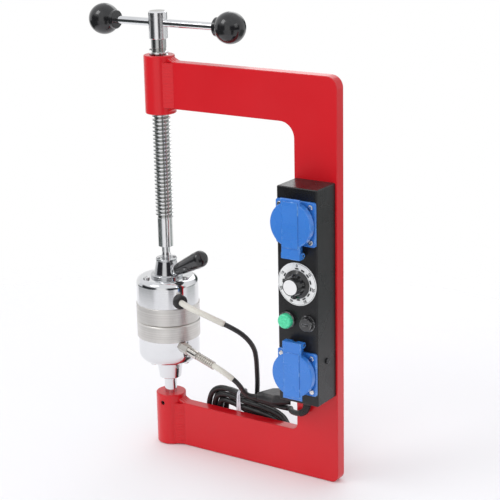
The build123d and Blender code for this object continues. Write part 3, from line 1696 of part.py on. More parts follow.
# Timer: clockwork case behind the panel, dial disc in front, knob on its shaft
shaft_radius = timer_shaft_diameter / 2
inside_front = box_front + box_sheet
with BuildPart() as timer_body:
    with BuildSketch(Plane.XZ.offset(-inside_front)):
        with Locations((box_middle, dial_height)):
            RectangleRounded(timer_body_size, timer_body_size, socket_flange_radius)
    extrude(amount=-timer_body_depth)
    with BuildSketch(Plane.XZ.offset(-inside_front)):
        with Locations((box_middle, dial_height)):
            Circle(dial_hole_diameter / 2)
    extrude(amount=box_sheet)
    with BuildSketch(Plane.XZ.offset(-box_front)):
        with Locations((box_middle, dial_height)):
            Circle(shaft_radius + running_clearance)
    extrude(amount=-timer_shaft_back - box_sheet, mode=Mode.SUBTRACT)
save(timer_body.part, "timer_body")

with BuildPart() as dial_plate:
    with BuildSketch(Plane.XZ.offset(-box_front)):
        with Locations((box_middle, dial_height)):
            Circle(dial_diameter / 2)
            Circle(dial_hole_diameter / 2, mode=Mode.SUBTRACT)
    extrude(amount=dial_thickness)
save(dial_plate.part, "dial_plate")

knob_back = box_front - dial_thickness - knob_gap
knob_base = Plane(origin=(box_middle, knob_back, dial_height), x_dir=(1, 0, 0), z_dir=(0, -1, 0))
with BuildPart() as timer_knob:
    add(
        turned(
            [
                (0, 0),
                (knob_skirt_diameter / 2 - small_edge, 0),
                (knob_skirt_diameter / 2, small_edge),
                (knob_body_diameter / 2 + small_edge, knob_skirt_thickness),
                (knob_body_diameter / 2, knob_skirt_thickness + small_edge),
                (knob_top_diameter / 2, knob_height - small_edge),
                (knob_top_diameter / 2 - small_edge, knob_height),
                (knob_cap_diameter / 2, knob_height),
                (knob_cap_diameter / 2, knob_height - knob_cap_thickness / 2),
                (0, knob_height - knob_cap_thickness / 2),
            ],
            knob_base,
        )
    )
    with BuildSketch(knob_base.offset(knob_skirt_thickness + small_edge)):
        with PolarLocations(knob_body_diameter / 2, knob_flute_count):
            Circle(knob_flute_diameter / 2)
    extrude(amount=knob_height, mode=Mode.SUBTRACT)
    with BuildSketch(knob_base.offset(knob_skirt_thickness)):
        with Locations((0, -knob_body_diameter / 2 - pointer_reach)):
            Rectangle(pointer_width, pointer_length)
    extrude(amount=knob_skirt_thickness)
    with BuildSketch(knob_base):
        Circle(shaft_radius)
    extrude(amount=-(timer_shaft_back + knob_gap + dial_thickness))
save(timer_knob.part, "timer_knob")

with BuildPart() as knob_cap:
    with BuildSketch(knob_base.offset(knob_height - knob_cap_thickness / 2)):
        Circle(knob_cap_diameter / 2)
    extrude(amount=knob_cap_thickness)
    chamfer(knob_cap.faces().sort_by(Axis.Y)[0].edges(), knob_cap_edge)
save(knob_cap.part, "knob_cap")

# Pilot lamp: black bezel with its holder, green lens
lamp_base = Plane(origin=(lamp_across, box_front, lamp_height), x_dir=(1, 0, 0), z_dir=(0, -1, 0))
lens_radius = lamp_lens_diameter / 2
save(
    turned(
        [
            (0, -lamp_body_depth),
            (lamp_body_diameter / 2, -lamp_body_depth),
            (lamp_body_diameter / 2, 0),
            (lamp_bezel_diameter / 2, 0),
            (lamp_bezel_diameter / 2, lamp_bezel_height - small_edge),
            (lamp_bezel_diameter / 2 - small_edge, lamp_bezel_height),
            (lens_radius, lamp_bezel_height),
            (lens_radius, lamp_bezel_height / 2),
            (0, lamp_bezel_height / 2),
        ],
        lamp_base,
    ),
    "lamp_body",
)
with BuildPart() as lamp_lens:
    with BuildSketch(lamp_base.offset(lamp_bezel_height / 2)):
        Circle(lens_radius)
    extrude(amount=lamp_bezel_height / 2 + lamp_lens_height)
    fillet(lamp_lens.faces().sort_by(Axis.Y)[0].edges(), lamp_lens_radius)
save(lamp_lens.part, "lamp_lens")

# Fuse holder behind the panel, its quarter-turn cap in front
fuse_base = Plane(origin=(fuse_across, box_front, fuse_height), x_dir=(1, 0, 0), z_dir=(0, -1, 0))
stem_room = fuse_cap_stem_diameter / 2 + running_clearance
save(
    turned(
        [
            (0, -fuse_body_depth),
            (fuse_body_diameter / 2, -fuse_body_depth),
            (fuse_body_diameter / 2, 0),
            (fuse_flange_diameter / 2, 0),
            (fuse_flange_diameter / 2, fuse_flange_height - small_edge),
            (fuse_flange_diameter / 2 - small_edge, fuse_flange_height),
            (stem_room, fuse_flange_height),
            (stem_room, -fuse_cap_stem_length - loose_clearance),
            (0, -fuse_cap_stem_length - loose_clearance),
        ],
        fuse_base,
    ),
    "fuse_holder",
)
fuse_cap_foot = fuse_flange_height + loose_clearance
with BuildPart() as fuse_cap:
    with BuildSketch(fuse_base.offset(fuse_cap_foot)):
        Circle(fuse_cap_diameter / 2)
    extrude(amount=fuse_cap_height, taper=fuse_cap_taper)
    fillet(fuse_cap.faces().sort_by(Axis.Y)[0].edges(), small_edge)
    with BuildSketch(fuse_base.offset(fuse_cap_foot)):
        Circle(fuse_cap_stem_diameter / 2)
    extrude(amount=-fuse_cap_foot - fuse_cap_stem_length)
    with BuildSketch(fuse_base.offset(fuse_cap_foot + fuse_cap_height - fuse_slot_width)):
        Rectangle(fuse_cap_diameter / 2, fuse_slot_width)
    extrude(amount=2 * fuse_slot_width, mode=Mode.SUBTRACT)
save(fuse_cap.part, "fuse_cap")
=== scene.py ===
import bmesh
import bpy
import math
from mathutils import Matrix, Vector


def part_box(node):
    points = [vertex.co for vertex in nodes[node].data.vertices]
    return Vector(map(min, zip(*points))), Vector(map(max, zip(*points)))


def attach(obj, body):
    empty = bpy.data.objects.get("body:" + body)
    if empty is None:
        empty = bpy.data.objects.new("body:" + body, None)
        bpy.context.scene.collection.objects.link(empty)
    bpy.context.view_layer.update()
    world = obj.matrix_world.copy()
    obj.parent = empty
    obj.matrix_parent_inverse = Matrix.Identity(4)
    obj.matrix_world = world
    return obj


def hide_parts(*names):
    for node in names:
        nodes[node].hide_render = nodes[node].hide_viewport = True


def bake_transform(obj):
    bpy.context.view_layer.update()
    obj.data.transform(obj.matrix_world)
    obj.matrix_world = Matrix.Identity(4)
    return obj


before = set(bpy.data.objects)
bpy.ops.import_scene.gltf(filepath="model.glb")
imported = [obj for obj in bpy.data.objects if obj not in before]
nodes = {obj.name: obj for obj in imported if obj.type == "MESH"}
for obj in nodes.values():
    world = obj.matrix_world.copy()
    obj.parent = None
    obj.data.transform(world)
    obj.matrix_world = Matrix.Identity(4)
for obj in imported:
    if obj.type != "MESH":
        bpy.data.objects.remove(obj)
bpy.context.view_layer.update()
scene = bpy.context.scene

# The camera stands in front of the control box's side and looks down a little on the press,
# with a long lens, as a shop's product picture is taken.
camera_place = Vector((1.156677, -1.534763, 0.829173))
camera_yaw = math.radians(33.7096)
camera_fall = math.radians(16.3617)
camera_roll = math.radians(-1.1546)
lens_length = 109.33
sight = Vector((
    -math.sin(camera_yaw) * math.cos(camera_fall),
    math.cos(camera_yaw) * math.cos(camera_fall),
    -math.sin(camera_fall),
))
level = Vector((math.cos(camera_yaw), math.sin(camera_yaw), 0))
upward = level.cross(sight)
right = math.cos(camera_roll) * level + math.sin(camera_roll) * upward
top = math.cos(camera_roll) * upward - math.sin(camera_roll) * level
camera = bpy.data.objects.new("product_camera", bpy.data.cameras.new("product_camera"))
camera.data.sensor_width = 36.0
camera.data.lens = lens_length
camera.data.clip_end = 20.0
camera.matrix_world = Matrix((
    (right.x, top.x, -sight.x, camera_place.x),
    (right.y, top.y, -sight.y, camera_place.y),
    (right.z, top.z, -sight.z, camera_place.z),
    (0, 0, 0, 1),
))
scene.collection.objects.link(camera)
scene.camera = camera
scene.view_settings.view_transform = "Standard"

# Plug pins: two brass pins, nickel plated, pressed into each plug. Every cord carries its own pair,
# so the solids of the pins are shared out among the plugs.
FLOAT = "NodeSocketFloat"


def put(tree, kind, sockets=None, **settings):
    """Adds a shader node with its settings, its sockets given values or other nodes' outputs."""
    added = tree.nodes.new(kind)
    for name, value in settings.items():
        setattr(added, name, value)
    for name, value in (sockets or {}).items():
        if isinstance(value, bpy.types.NodeSocket):
            tree.links.new(value, added.inputs[name])
        else:
            added.inputs[name].default_value = value
    return added


def placed_on(tree):
    """The coordinates in the object's own metres."""
    return put(tree, "ShaderNodeTexCoord").outputs["Object"]


def split(tree, vector):
    """The three parts of a vector."""
    return put(tree, "ShaderNodeSeparateXYZ", {"Vector": vector}).outputs


def length_of(tree, vector):
    """The length of a vector."""
    return put(tree, "ShaderNodeVectorMath", {0: vector}, operation="LENGTH").outputs["Value"]


def noise(tree, place, scale, detail=2.0, **sockets):
    """A cloudy value at a place, from 0 to 1."""
    named = {"Vector": place, "Scale": scale, "Detail": detail, **sockets}
    return put(tree, "ShaderNodeTexNoise", named).outputs["Fac"]


def mapped(tree, value, low=0.0, high=1.0, to_low=0.0, to_high=1.0, **settings):
    """A value carried from one range to another and held within it."""
    named = {"Value": value, "From Min": low, "From Max": high, "To Min": to_low, "To Max": to_high}
    return put(tree, "ShaderNodeMapRange", named, **settings).outputs["Result"]


def calc(tree, operation, *terms):
    """The result of a sum on values."""
    return put(tree, "ShaderNodeMath", dict(enumerate(terms)), operation=operation).outputs[0]


def mixed(tree, mask, first, second):
    """Two colours mixed by a mask."""
    return put(tree, "ShaderNodeMix", {"Factor": mask, 6: first, 7: second}, data_type="RGBA").outputs[2]


def bump(tree, height, strength, distance, normal=None):
    """The normal of a finely uneven surface."""
    sockets = {"Height": height, "Strength": strength, "Distance": distance}
    if normal is not None:
        sockets["Normal"] = normal
    return put(tree, "ShaderNodeBump", sockets).outputs["Normal"]


def finish_named(name):
    """A new material with an empty node tree, and the tree."""
    made = bpy.data.materials.new(name)
    made.use_nodes = True
    made.node_tree.nodes.clear()
    return made, made.node_tree


def surface(tree, **sockets):
    """The Principled BSDF of a finish; an underscore in a socket's name stands for a space."""
    named = {name.replace("_", " "): value for name, value in sockets.items()}
    shader = put(tree, "ShaderNodeBsdfPrincipled", named)
    put(tree, "ShaderNodeOutputMaterial", {"Surface": shader.outputs[0]})


def new_group(name, inputs, outputs):
    """A shader node group with its sockets, its tree and its two end nodes."""
    tree = bpy.data.node_groups.new(name, "ShaderNodeTree")
    for label, value in inputs:
        socket = tree.interface.new_socket(name=label, in_out="INPUT", socket_type=FLOAT)
        socket.default_value = value
    for label, kind in outputs:
        tree.interface.new_socket(name=label, in_out="OUTPUT", socket_type=kind)
    return tree, tree.nodes.new("NodeGroupInput").outputs, tree.nodes.new("NodeGroupOutput").inputs


edges, edges_in, edges_out = new_group(
    "rounded_edges",
    [("Radius", 0.0008), ("Wear_and_highlight", 0.5), ("Scale", 200.0)],
    [("Normal", "NodeSocketVector"), ("Mask", FLOAT)],
)
edge_bevel = put(edges, "ShaderNodeBevel", {"Radius": edges_in["Radius"]}, samples=4).outputs["Normal"]
edge_flat = put(edges, "ShaderNodeNewGeometry").outputs["Normal"]
edge_turn = put(edges, "ShaderNodeVectorMath", {0: edge_bevel, 1: edge_flat}, operation="DOT_PRODUCT")
edge_strength = mapped(edges, edge_turn.outputs["Value"], low=0.995, high=0.85)
edge_noise = noise(edges, placed_on(edges), edges_in["Scale"], detail=5.0)
edge_mask = calc(edges, "MULTIPLY", edge_strength, mapped(edges, edge_noise, low=0.5, high=0.62))
edges.links.new(edge_bevel, edges_out["Normal"])
edges.links.new(calc(edges, "MULTIPLY", edge_mask, edges_in["Wear_and_highlight"]), edges_out["Mask"])

marks, marks_in, marks_out = new_group(
    "finger_marks", [("Scale", 30.0), ("Clean", 0.05), ("Smeared", 0.2)], [("Roughness", FLOAT)]
)
marks_noise = noise(marks, placed_on(marks), marks_in["Scale"], detail=5.0, Distortion=0.6)
marks_range = mapped(
    marks, marks_noise, low=0.45, high=0.8, to_low=marks_in["Clean"], to_high=marks_in["Smeared"]
)
marks.links.new(marks_range, marks_out["Roughness"])


def edged(tree, radius, wear_and_highlight, scale=200.0):
    """The rounded edge normal and the edge mask of a finish: wear on some finishes, a painted highlight on
    others.
    """
    sockets = {"Radius": radius, "Wear_and_highlight": wear_and_highlight, "Scale": scale}
    return put(tree, "ShaderNodeGroup", sockets, node_tree=edges).outputs


def smeared(tree, scale, clean, dull):
    """A roughness that finger marks raise from clean to dull."""
    sockets = {"Scale": scale, "Clean": clean, "Smeared": dull}
    return put(tree, "ShaderNodeGroup", sockets, node_tree=marks).outputs["Roughness"]


def small_metal(name, colour, clean, dull, grain, hole_shade_below=None):
    """A plated small part: mottled plating over worn edges, and painted shade in black below a height
    where one is given.
    """
    made, tree = finish_named(name)
    place = placed_on(tree)
    mottle = noise(tree, place, grain, detail=4.0)
    mottled_share = 0.72
    edge = edged(tree, radius=0.0002, wear_and_highlight=0.5, scale=600.0)
    shade = mixed(tree, mottle, (*[mottled_share * part for part in colour], 1), (*colour, 1))
    if hole_shade_below is not None:
        # Painted shade: black below the given height, where a sunk screw lies in the shade of its hole.
        painted_hole_shade = (0.035, 0.035, 0.036, 1)
        plated = calc(tree, "GREATER_THAN", split(tree, place)["Z"], hole_shade_below)
        shade = mixed(tree, plated, painted_hole_shade, shade)
    surface(
        tree,
        Base_Color=shade,
        Metallic=1.0,
        Roughness=smeared(tree, scale=200.0, clean=clean, dull=dull),
        Normal=bump(tree, mottle, strength=0.08, distance=0.0002, normal=edge["Normal"]),
    )
    return made


def piece_of(name, shape, finish):
    """A new piece with a shape's mesh, in its finish."""
    mesh = bpy.data.meshes.new(name)
    shape.to_mesh(mesh)
    shape.free()
    mesh.materials.append(finish)
    piece = bpy.data.objects.new(name, mesh)
    scene.collection.objects.link(piece)
    return piece


def pins_of(plug, rivals):
    """The pins that stand nearer to a plug than to the other plugs."""
    def middle(node):
        low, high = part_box(node)
        return (Vector(low) + Vector(high)) / 2

    own = middle(plug)
    others = [middle(rival) for rival in rivals]
    shape = bmesh.new()
    shape.from_mesh(nodes["plug_pins"].data)
    strange = [
        v for v in shape.verts if any((v.co - other).length < (v.co - own).length for other in others)
    ]
    bmesh.ops.delete(shape, geom=strange, context="VERTS")
    pair = piece_of(plug + "_pins", shape, nickel_finish)
    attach(pair, "stand")
    return pair


nickel = (0.78, 0.75, 0.70)
nickel_finish = small_metal("nickel_plate", nickel, clean=0.14, dull=0.30, grain=300.0)
plug_names = ["upper_lead_plug", "lower_lead_plug", "mains_plug"]
pins = {name: pins_of(name, [other for other in plug_names if other != name]) for name in plug_names}
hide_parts("plug_pins")

# Glass fibre sleeves: cream-white braided tubes, pushed over the leads where these leave the hot
# heads. The strands cross each other at a steep angle and fray a little.
sleeve_finish, tree = finish_named("glass_fibre_sleeve")
sleeve_map = put(tree, "ShaderNodeTexCoord").outputs
sleeve_split = split(tree, sleeve_map["UV"])
strands_round = 16
strand_twist = 2600.0
strand_fuzz = 0.8
strand_heights = []
for lean in (1, -1):
    strand_along = calc(tree, "MULTIPLY", sleeve_split["Y"], lean * strand_twist)
    strand_phase = calc(
        tree, "MULTIPLY_ADD", sleeve_split["X"], 2 * math.pi * strands_round, strand_along
    )
    strand_heights.append(calc(tree, "SINE", strand_phase))
braid = calc(tree, "MAXIMUM", *strand_heights)
sleeve_fuzz = noise(tree, sleeve_map["Object"], scale=900.0, detail=4.0)
braid_shade = mapped(tree, braid, low=-1.0)
# Painted shade: the braid's colour darkens in the gaps between the strands, where shade falls.
shaded_between_strands = (0.50, 0.48, 0.41, 1)
cream_strand = (0.84, 0.82, 0.74, 1)
soiled_strand = (0.52, 0.48, 0.40, 1)
sleeve_weave = mixed(tree, braid_shade, shaded_between_strands, cream_strand)
sleeve_soil = noise(tree, sleeve_map["Object"], scale=55.0, detail=3.0)
sleeve_height = calc(tree, "MULTIPLY_ADD", sleeve_fuzz, strand_fuzz, braid)
surface(
    tree,
    Base_Color=mixed(tree, mapped(tree, sleeve_soil, low=0.5, to_high=0.35), sleeve_weave, soiled_strand),
    Roughness=0.85,
    Normal=bump(tree, sleeve_height, strength=0.5, distance=0.0004),
    Sheen_Weight=0.3,
)
tube_sides = 24


def centreline(name, points):
    """The smooth line of a cord: a NURBS spline whose control points are the route's own points."""
    curve = bpy.data.curves.new(name + "_line", "CURVE")
    curve.dimensions = "3D"
    curve.resolution_u = 10
    spline = curve.splines.new("NURBS")
    spline.points.add(len(points) - 1)
    for spot, place in zip(spline.points, points):
        spot.co = (*place, 1)
    spline.order_u = 3
    spline.use_endpoint_u = True
    line = bpy.data.objects.new(name + "_line", curve)
    scene.collection.objects.link(line)
    bpy.context.view_layer.update()
    read = bpy.data.meshes.new_from_object(line)
    path = [v.co.copy() for v in read.vertices]
    bpy.data.objects.remove(line)
    bpy.data.meshes.remove(read)
    return path


def ring_round(place, side, across, radius):
    """Points of a round section about a place on a line."""
    turns = [2 * math.pi * step / tube_sides for step in range(tube_sides)]
    return [place + (side * math.cos(turn) + across * math.sin(turn)) * radius for turn in turns]


def skin(shape, rows):
    """Joins rows of points round a body to a smooth skin with closed ends; its walls in order."""
    rings = [[shape.verts.new(spot) for spot in row] for row in rows]
    walls = []
    for ring, after in zip(rings, rings[1:]):
        for number in range(len(ring)):
            following = (number + 1) % len(ring)
            wall = shape.faces.new((ring[number], ring[following], after[following], after[number]))
            wall.smooth = True
            walls.append(wall)
    shape.faces.new(reversed(rings[0]))
    shape.faces.new(rings[-1])
    return walls


def sheathed(name, path, diameter, finish):
    """A round cord along a line, with a texture map that runs once round it and in metres along it."""
    shape = bmesh.new()
    maps = shape.loops.layers.uv.new("around_and_along")
    side = (path[1] - path[0]).orthogonal().normalized()
    rows = []
    travelled = [0.0]
    for number, place in enumerate(path):
        before = path[max(number - 1, 0)]
        after = path[min(number + 1, len(path) - 1)]
        ahead = (after - before).normalized()
        side = (side - ahead * side.dot(ahead)).normalized()
        rows.append(ring_round(place, side, ahead.cross(side), diameter / 2))
        if number:
            travelled.append(travelled[-1] + (place - path[number - 1]).length)
    for index, wall in enumerate(skin(shape, rows)):
        number, step = divmod(index, tube_sides)
        corners = ((step, number), (step + 1, number), (step + 1, number + 1), (step, number + 1))
        for loop, (around, ring) in zip(wall.loops, corners):
            loop[maps].uv = (around / tube_sides, travelled[ring])
    return piece_of(name, shape, finish)


upper_sleeve_diameter = 0.008
upper_sleeve_points = [
    (0.03999, -0.02403, 0.20845),
    (0.05799, -0.03485, 0.20845),
    (0.085, -0.0345, 0.2024),
    (0.108, -0.025, 0.191),
]
upper_sleeve_path = centreline("upper_sleeve", upper_sleeve_points)
upper_sleeve = sheathed("upper_glass_sleeve", upper_sleeve_path, upper_sleeve_diameter, sleeve_finish)
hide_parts("upper_sleeve")
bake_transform(upper_sleeve)

lower_sleeve_diameter = 0.0074
lower_sleeve_points = [
    (0.06477, -0.02573, 0.14009),
    (0.08013, -0.029, 0.13704),
    (0.0954, -0.0324, 0.13415),
    (0.10414, -0.0341, 0.13227),
    (0.1138, -0.0329, 0.1272),
    (0.12085, -0.0284, 0.12005),
]
lower_sleeve_path = centreline("lower_sleeve", lower_sleeve_points)
lower_sleeve = sheathed("lower_glass_sleeve", lower_sleeve_path, lower_sleeve_diameter, sleeve_finish)
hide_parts("lower_sleeve")
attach(lower_sleeve, "stand")

# Heater leads: flexible cords in satin black rubber with a little chalky dust, out of the sleeves.
# The upper one falls behind the hank to its plug on the table, the lower one ends in its plug on
# top of the hank.
dust, dust_in, dust_out = new_group("shop_dust", [("Scale", 60.0), ("Amount", 0.4)], [("Mask", FLOAT)])
dust_facing = put(dust, "ShaderNodeNewGeometry").outputs["Normal"]
dust_height = split(dust, dust_facing)["Z"]
dust_spots = noise(dust, placed_on(dust), dust_in["Scale"], detail=6.0, Roughness=0.7)
dust_both = calc(
    dust, "MULTIPLY", mapped(dust, dust_height, low=-0.2), mapped(dust, dust_spots, low=0.42, high=0.75)
)
dust.links.new(calc(dust, "MULTIPLY", dust_both, dust_in["Amount"]), dust_out["Mask"])


def dusted(tree, colour, scale, amount):
    """The colour of a finish with shop dust on it."""
    sockets = {"Scale": scale, "Amount": amount}
    mask = put(tree, "ShaderNodeGroup", sockets, node_tree=dust).outputs["Mask"]
    chalk = (0.55, 0.54, 0.52, 1)
    return mixed(tree, mask, colour, chalk)


sheath_finish, tree = finish_named("cord_sheath")
sheath_map = put(tree, "ShaderNodeTexCoord").outputs
sheath_split = split(tree, sheath_map["UV"])
cores = 2
core_twist = 190.0
core_show = 0.35
core_along = calc(tree, "MULTIPLY", sheath_split["Y"], core_twist)
core_phase = calc(tree, "MULTIPLY_ADD", sheath_split["X"], 2 * math.pi * cores, core_along)
sheath_grain = noise(tree, sheath_map["Object"], scale=1400.0, detail=3.0)
sheath_height = calc(tree, "MULTIPLY_ADD", calc(tree, "SINE", core_phase), core_show, sheath_grain)
sheath_smear = noise(tree, sheath_map["Object"], scale=45.0)
surface(
    tree,
    Base_Color=dusted(tree, (0.0135, 0.0135, 0.014, 1), scale=120.0, amount=0.10),
    Roughness=mapped(tree, sheath_smear, to_low=0.28, to_high=0.46),
    Normal=bump(tree, sheath_height, strength=0.16, distance=0.0004),
    Specular_IOR_Level=0.55,
)

lead_diameter = 0.0064
upper_lead_points = [
    (0.10809, -0.02496, 0.19096),
    (0.1218, -0.0193, 0.18416),
    (0.131, -0.0085, 0.1715),
    (0.134, 0.004, 0.154),
    (0.130, 0.014, 0.135),
    (0.125, 0.0225, 0.115),
    (0.1205, 0.030, 0.095),
    (0.1165, 0.034, 0.075),
    (0.113, 0.0365, 0.055),
    (0.108, 0.039, 0.036),
    (0.098, 0.0435, 0.0185),
    (0.084, 0.049, 0.0072),
    (0.068, 0.049, 0.0072),
]
upper_lead_path = centreline("upper_lead", upper_lead_points)
upper_lead = sheathed("upper_heater_lead", upper_lead_path, lead_diameter, sheath_finish)
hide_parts("upper_lead")
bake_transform(upper_lead)

lower_lead_points = [
    (0.12091, -0.02836, 0.11999),
    (0.12649, -0.0248, 0.11433),
    (0.1258, -0.0079, 0.0937),
    (0.1312, -0.0023, 0.0892),
    (0.13813, 0.0017, 0.0892),
]
lower_lead_path = centreline("lower_lead", lower_lead_points)
lower_lead = sheathed("lower_heater_lead", lower_lead_path, lead_diameter, sheath_finish)
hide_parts("lower_lead")
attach(lower_lead, "stand")

# Mains cord: two cores in the same black rubber. It comes down out of the box, turns round the
# column's inner edge and is wound to a hank in two layers behind the lower arm. Its end goes along
# the table to the round plug.
mains_diameter = 0.0072
mains_tail_points = [
    (0.226, -0.016, 0.110),
    (0.226, -0.016, 0.096),
    (0.215, -0.0155, 0.087),
    (0.200, -0.0125, 0.0855),
    (0.191, -0.001, 0.0845),
    (0.185, 0.009, 0.0795),
    (0.175, 0.0133, 0.0769),
    (0.164, 0.0133, 0.0769),
]
mains_end_points = [
    (0.158, 0.0221, 0.0038),
    (0.178, 0.0221, 0.0038),
    (0.196, 0.028, 0.0038),
    (0.204, 0.044, 0.0045),
    (0.199, 0.061, 0.010),
    (0.183, 0.071, 0.0182),
    (0.167, 0.071, 0.0182),
]
hank_front = 0.0133
hank_step = 0.0088
hank_turns = 6
hank_left = 0.0526
hank_right = 0.182
hank_left_node = 0.083
hank_right_node = 0.150
hank_waist = 0.104
hank_left_top = 0.0872
hank_waist_top = 0.0818
hank_right_top = 0.073
hank_floor = 0.0038
hank_waist_lift = 0.005
hank_climb_drop = 0.003
corner_share = math.tan(math.pi / 8)


def hank_points():
    """Control points of the wound cord: in to the middle in the front layer, out again in the back."""
    sunk = [turn / 2 for turn in range(hank_turns)]
    sunk += sunk[:0:-1]
    left_radius = hank_left_node - hank_left
    right_radius = hank_right - hank_right_node
    points = []
    for turn, share in enumerate(sunk):
        inset = share * hank_step
        depth = hank_front if turn < hank_turns else hank_front + hank_step
        if turn % 2 == 0:
            drop = hank_climb_drop if turn == hank_turns else 0
            points.append((hank_waist, depth, hank_waist_top - inset - drop))
            radius = left_radius - inset
            upper = hank_left_top - left_radius
            lower = hank_floor + left_radius
            points.append((hank_left_node - radius * corner_share, depth, upper + radius))
            points.append((hank_left_node - radius, depth, upper + radius * corner_share))
            points.append((hank_left_node - radius, depth, lower - radius * corner_share))
            points.append((hank_left_node - radius * corner_share, depth, lower - radius))
        else:
            waist_inset = sunk[turn - 1] * hank_step
            points.append((hank_waist, depth, hank_floor + hank_waist_lift + waist_inset))
            radius = right_radius - inset
            upper = hank_right_top - right_radius
            lower = hank_floor + right_radius
            points.append((hank_right_node + radius * corner_share, depth, lower - radius))
            points.append((hank_right_node + radius, depth, lower - radius * corner_share))
            points.append((hank_right_node + radius, depth, upper + radius * corner_share))
            points.append((hank_right_node + radius * corner_share, depth, upper + radius))
    last = sunk[-1] * hank_step
    points.append((hank_waist, hank_front + hank_step, hank_floor + hank_waist_lift + last))
    return points


mains_path = centreline("mains_cord", mains_tail_points + hank_points() + mains_end_points)
mains_cord = sheathed("mains_cord", mains_path, mains_diameter, sheath_finish)
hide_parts("mains_tail", "mains_hank", "mains_end")
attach(mains_cord, "stand")

# Cord tie: a white plastic strip pulled tight round the hank's waist; its two turns spread
# towards the bottom.
def moulded(name, colour, dust_scale, dust_share, grain, detail, strength, distance, roughness, **sockets):
    """Moulded rubber or plastic: dusty, with the fine grain of its mould."""
    made, tree = finish_named(name)
    surface(
        tree,
        Base_Color=dusted(tree, colour, dust_scale, dust_share),
        Roughness=roughness,
        Normal=bump(tree, noise(tree, placed_on(tree), grain, detail), strength, distance),
        **sockets,
    )
    return made


tie_finish = moulded(
    "tie_plastic",
    colour=(0.80, 0.81, 0.86, 1),
    dust_scale=90.0,
    dust_share=0.2,
    grain=700.0,
    detail=3.0,
    strength=0.2,
    distance=0.0003,
    roughness=0.38,
    Subsurface_Weight=0.1,
    Subsurface_Radius=(0.001, 0.001, 0.001),
)
tie_low, tie_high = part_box("hank_tie")
tie_thickness = 0.0009
tie_strip = 0.0042
tie_corner = 0.005
tie_spread = 0.0045
tie_corner_steps = 6


def tie_turn(name, spread):
    """One turn of the strip: a rounded band whose foot is set to one side."""
    near, far = tie_low[1], tie_high[1]
    bottom, crest = tie_low[2], tie_high[2]
    middle = (tie_low[0] + tie_high[0]) / 2
    quarter = math.pi / 2
    ring = []
    for y, z, start in (
        (far - tie_corner, crest - tie_corner, 0.0),
        (near + tie_corner, crest - tie_corner, quarter),
        (near + tie_corner, bottom + tie_corner, 2 * quarter),
        (far - tie_corner, bottom + tie_corner, 3 * quarter),
    ):
        for step in range(tie_corner_steps + 1):
            turn = start + step * quarter / tie_corner_steps
            ring.append((y + tie_corner * math.cos(turn), z + tie_corner * math.sin(turn)))
    shape = bmesh.new()
    rows = []
    for y, z in ring:
        lean = spread * (crest - z) / (crest - bottom)
        rows.append([
            shape.verts.new((middle + lean + side * tie_strip / 2, y, z)) for side in (-1, 1)
        ])
    for row, after in zip(rows, rows[1:] + rows[:1]):
        shape.faces.new((row[0], row[1], after[1], after[0])).smooth = True
    band = piece_of(name, shape, tie_finish)
    thick = band.modifiers.new("thickness", "SOLIDIFY")
    thick.thickness = tie_thickness
    thick.offset = 0
    soft = band.modifiers.new("edges", "BEVEL")
    soft.width = tie_thickness / 3
    soft.segments = 2
    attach(band, "stand")
    return band


tie_turns = [tie_turn("tie_turn_left", -tie_spread), tie_turn("tie_turn_right", tie_spread)]
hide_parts("hank_tie")

# Strain relief: a tapered sleeve of black rubber under the box's gland. Its rings are divided by
# grooves, so that it bends evenly with the cord.
relief_finish, tree = finish_named("relief_rubber")
relief_grain = noise(tree, placed_on(tree), scale=1100.0, detail=4.0)
surface(
    tree,
    Base_Color=dusted(tree, (0.015, 0.015, 0.016, 1), scale=110.0, amount=0.14),
    Roughness=mapped(tree, relief_grain, to_low=0.36, to_high=0.52),
    Normal=bump(tree, relief_grain, strength=0.2, distance=0.0003),
)
relief_length = 0.028
relief_top_radius = 0.0053
relief_end_radius = 0.0042
relief_groove = 0.0006
relief_crown = 0.00015
relief_rings = 10
relief_pitch = relief_length / relief_rings
ring_share = 0.62
ring_edge_share = 0.1
sharp_edge = math.radians(50)


def along(path, distance):
    """The place on a line at a distance from its start, and the way that the line goes there."""
    for before, after in zip(path, path[1:]):
        step = (after - before).length
        if distance <= step:
            break
        distance -= step
    return before.lerp(after, distance / step), (after - before).normalized()


relief_side = Vector((0, 1, 0))
relief_rows = []
for number in range(relief_rings):
    for share, raised in (
        (0, -relief_groove),
        (0, 0),
        (ring_edge_share, relief_crown),
        (ring_share - ring_edge_share, relief_crown),
        (ring_share, 0),
        (ring_share, -relief_groove),
    ):
        distance = (number + share) * relief_pitch
        radius = relief_top_radius + (relief_end_radius - relief_top_radius) * distance / relief_length
        spot, ahead = along(mains_path, distance)
        relief_side = (relief_side - ahead * relief_side.dot(ahead)).normalized()
        relief_rows.append(ring_round(spot, relief_side, ahead.cross(relief_side), radius + raised))
relief_shape = bmesh.new()
skin(relief_shape, relief_rows)
relief = piece_of("mains_strain_relief", relief_shape, relief_finish)
relief.data.shade_smooth()
relief.data.set_sharp_from_angle(angle=sharp_edge)
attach(relief, "stand")

# Plugs and the lead's grommet: black rubber, dull, moulded round the cords' ends and pressed into
# the upper cup's wall.
def paint(finish, *names):
    """Gives CAD nodes their finish."""
    for name in names:
        slots = nodes[name].data.materials
        slots.clear()
        slots.append(finish)


rubber_finish = moulded(
    "moulded_rubber",
    colour=(0.014, 0.014, 0.015, 1),
    dust_scale=90.0,
    dust_share=0.18,
    grain=900.0,
    detail=5.0,
    strength=0.25,
    distance=0.0004,
    roughness=0.42,
)
paint(rubber_finish, "upper_lead_plug", "lower_lead_plug", "mains_plug", "upper_grommet")

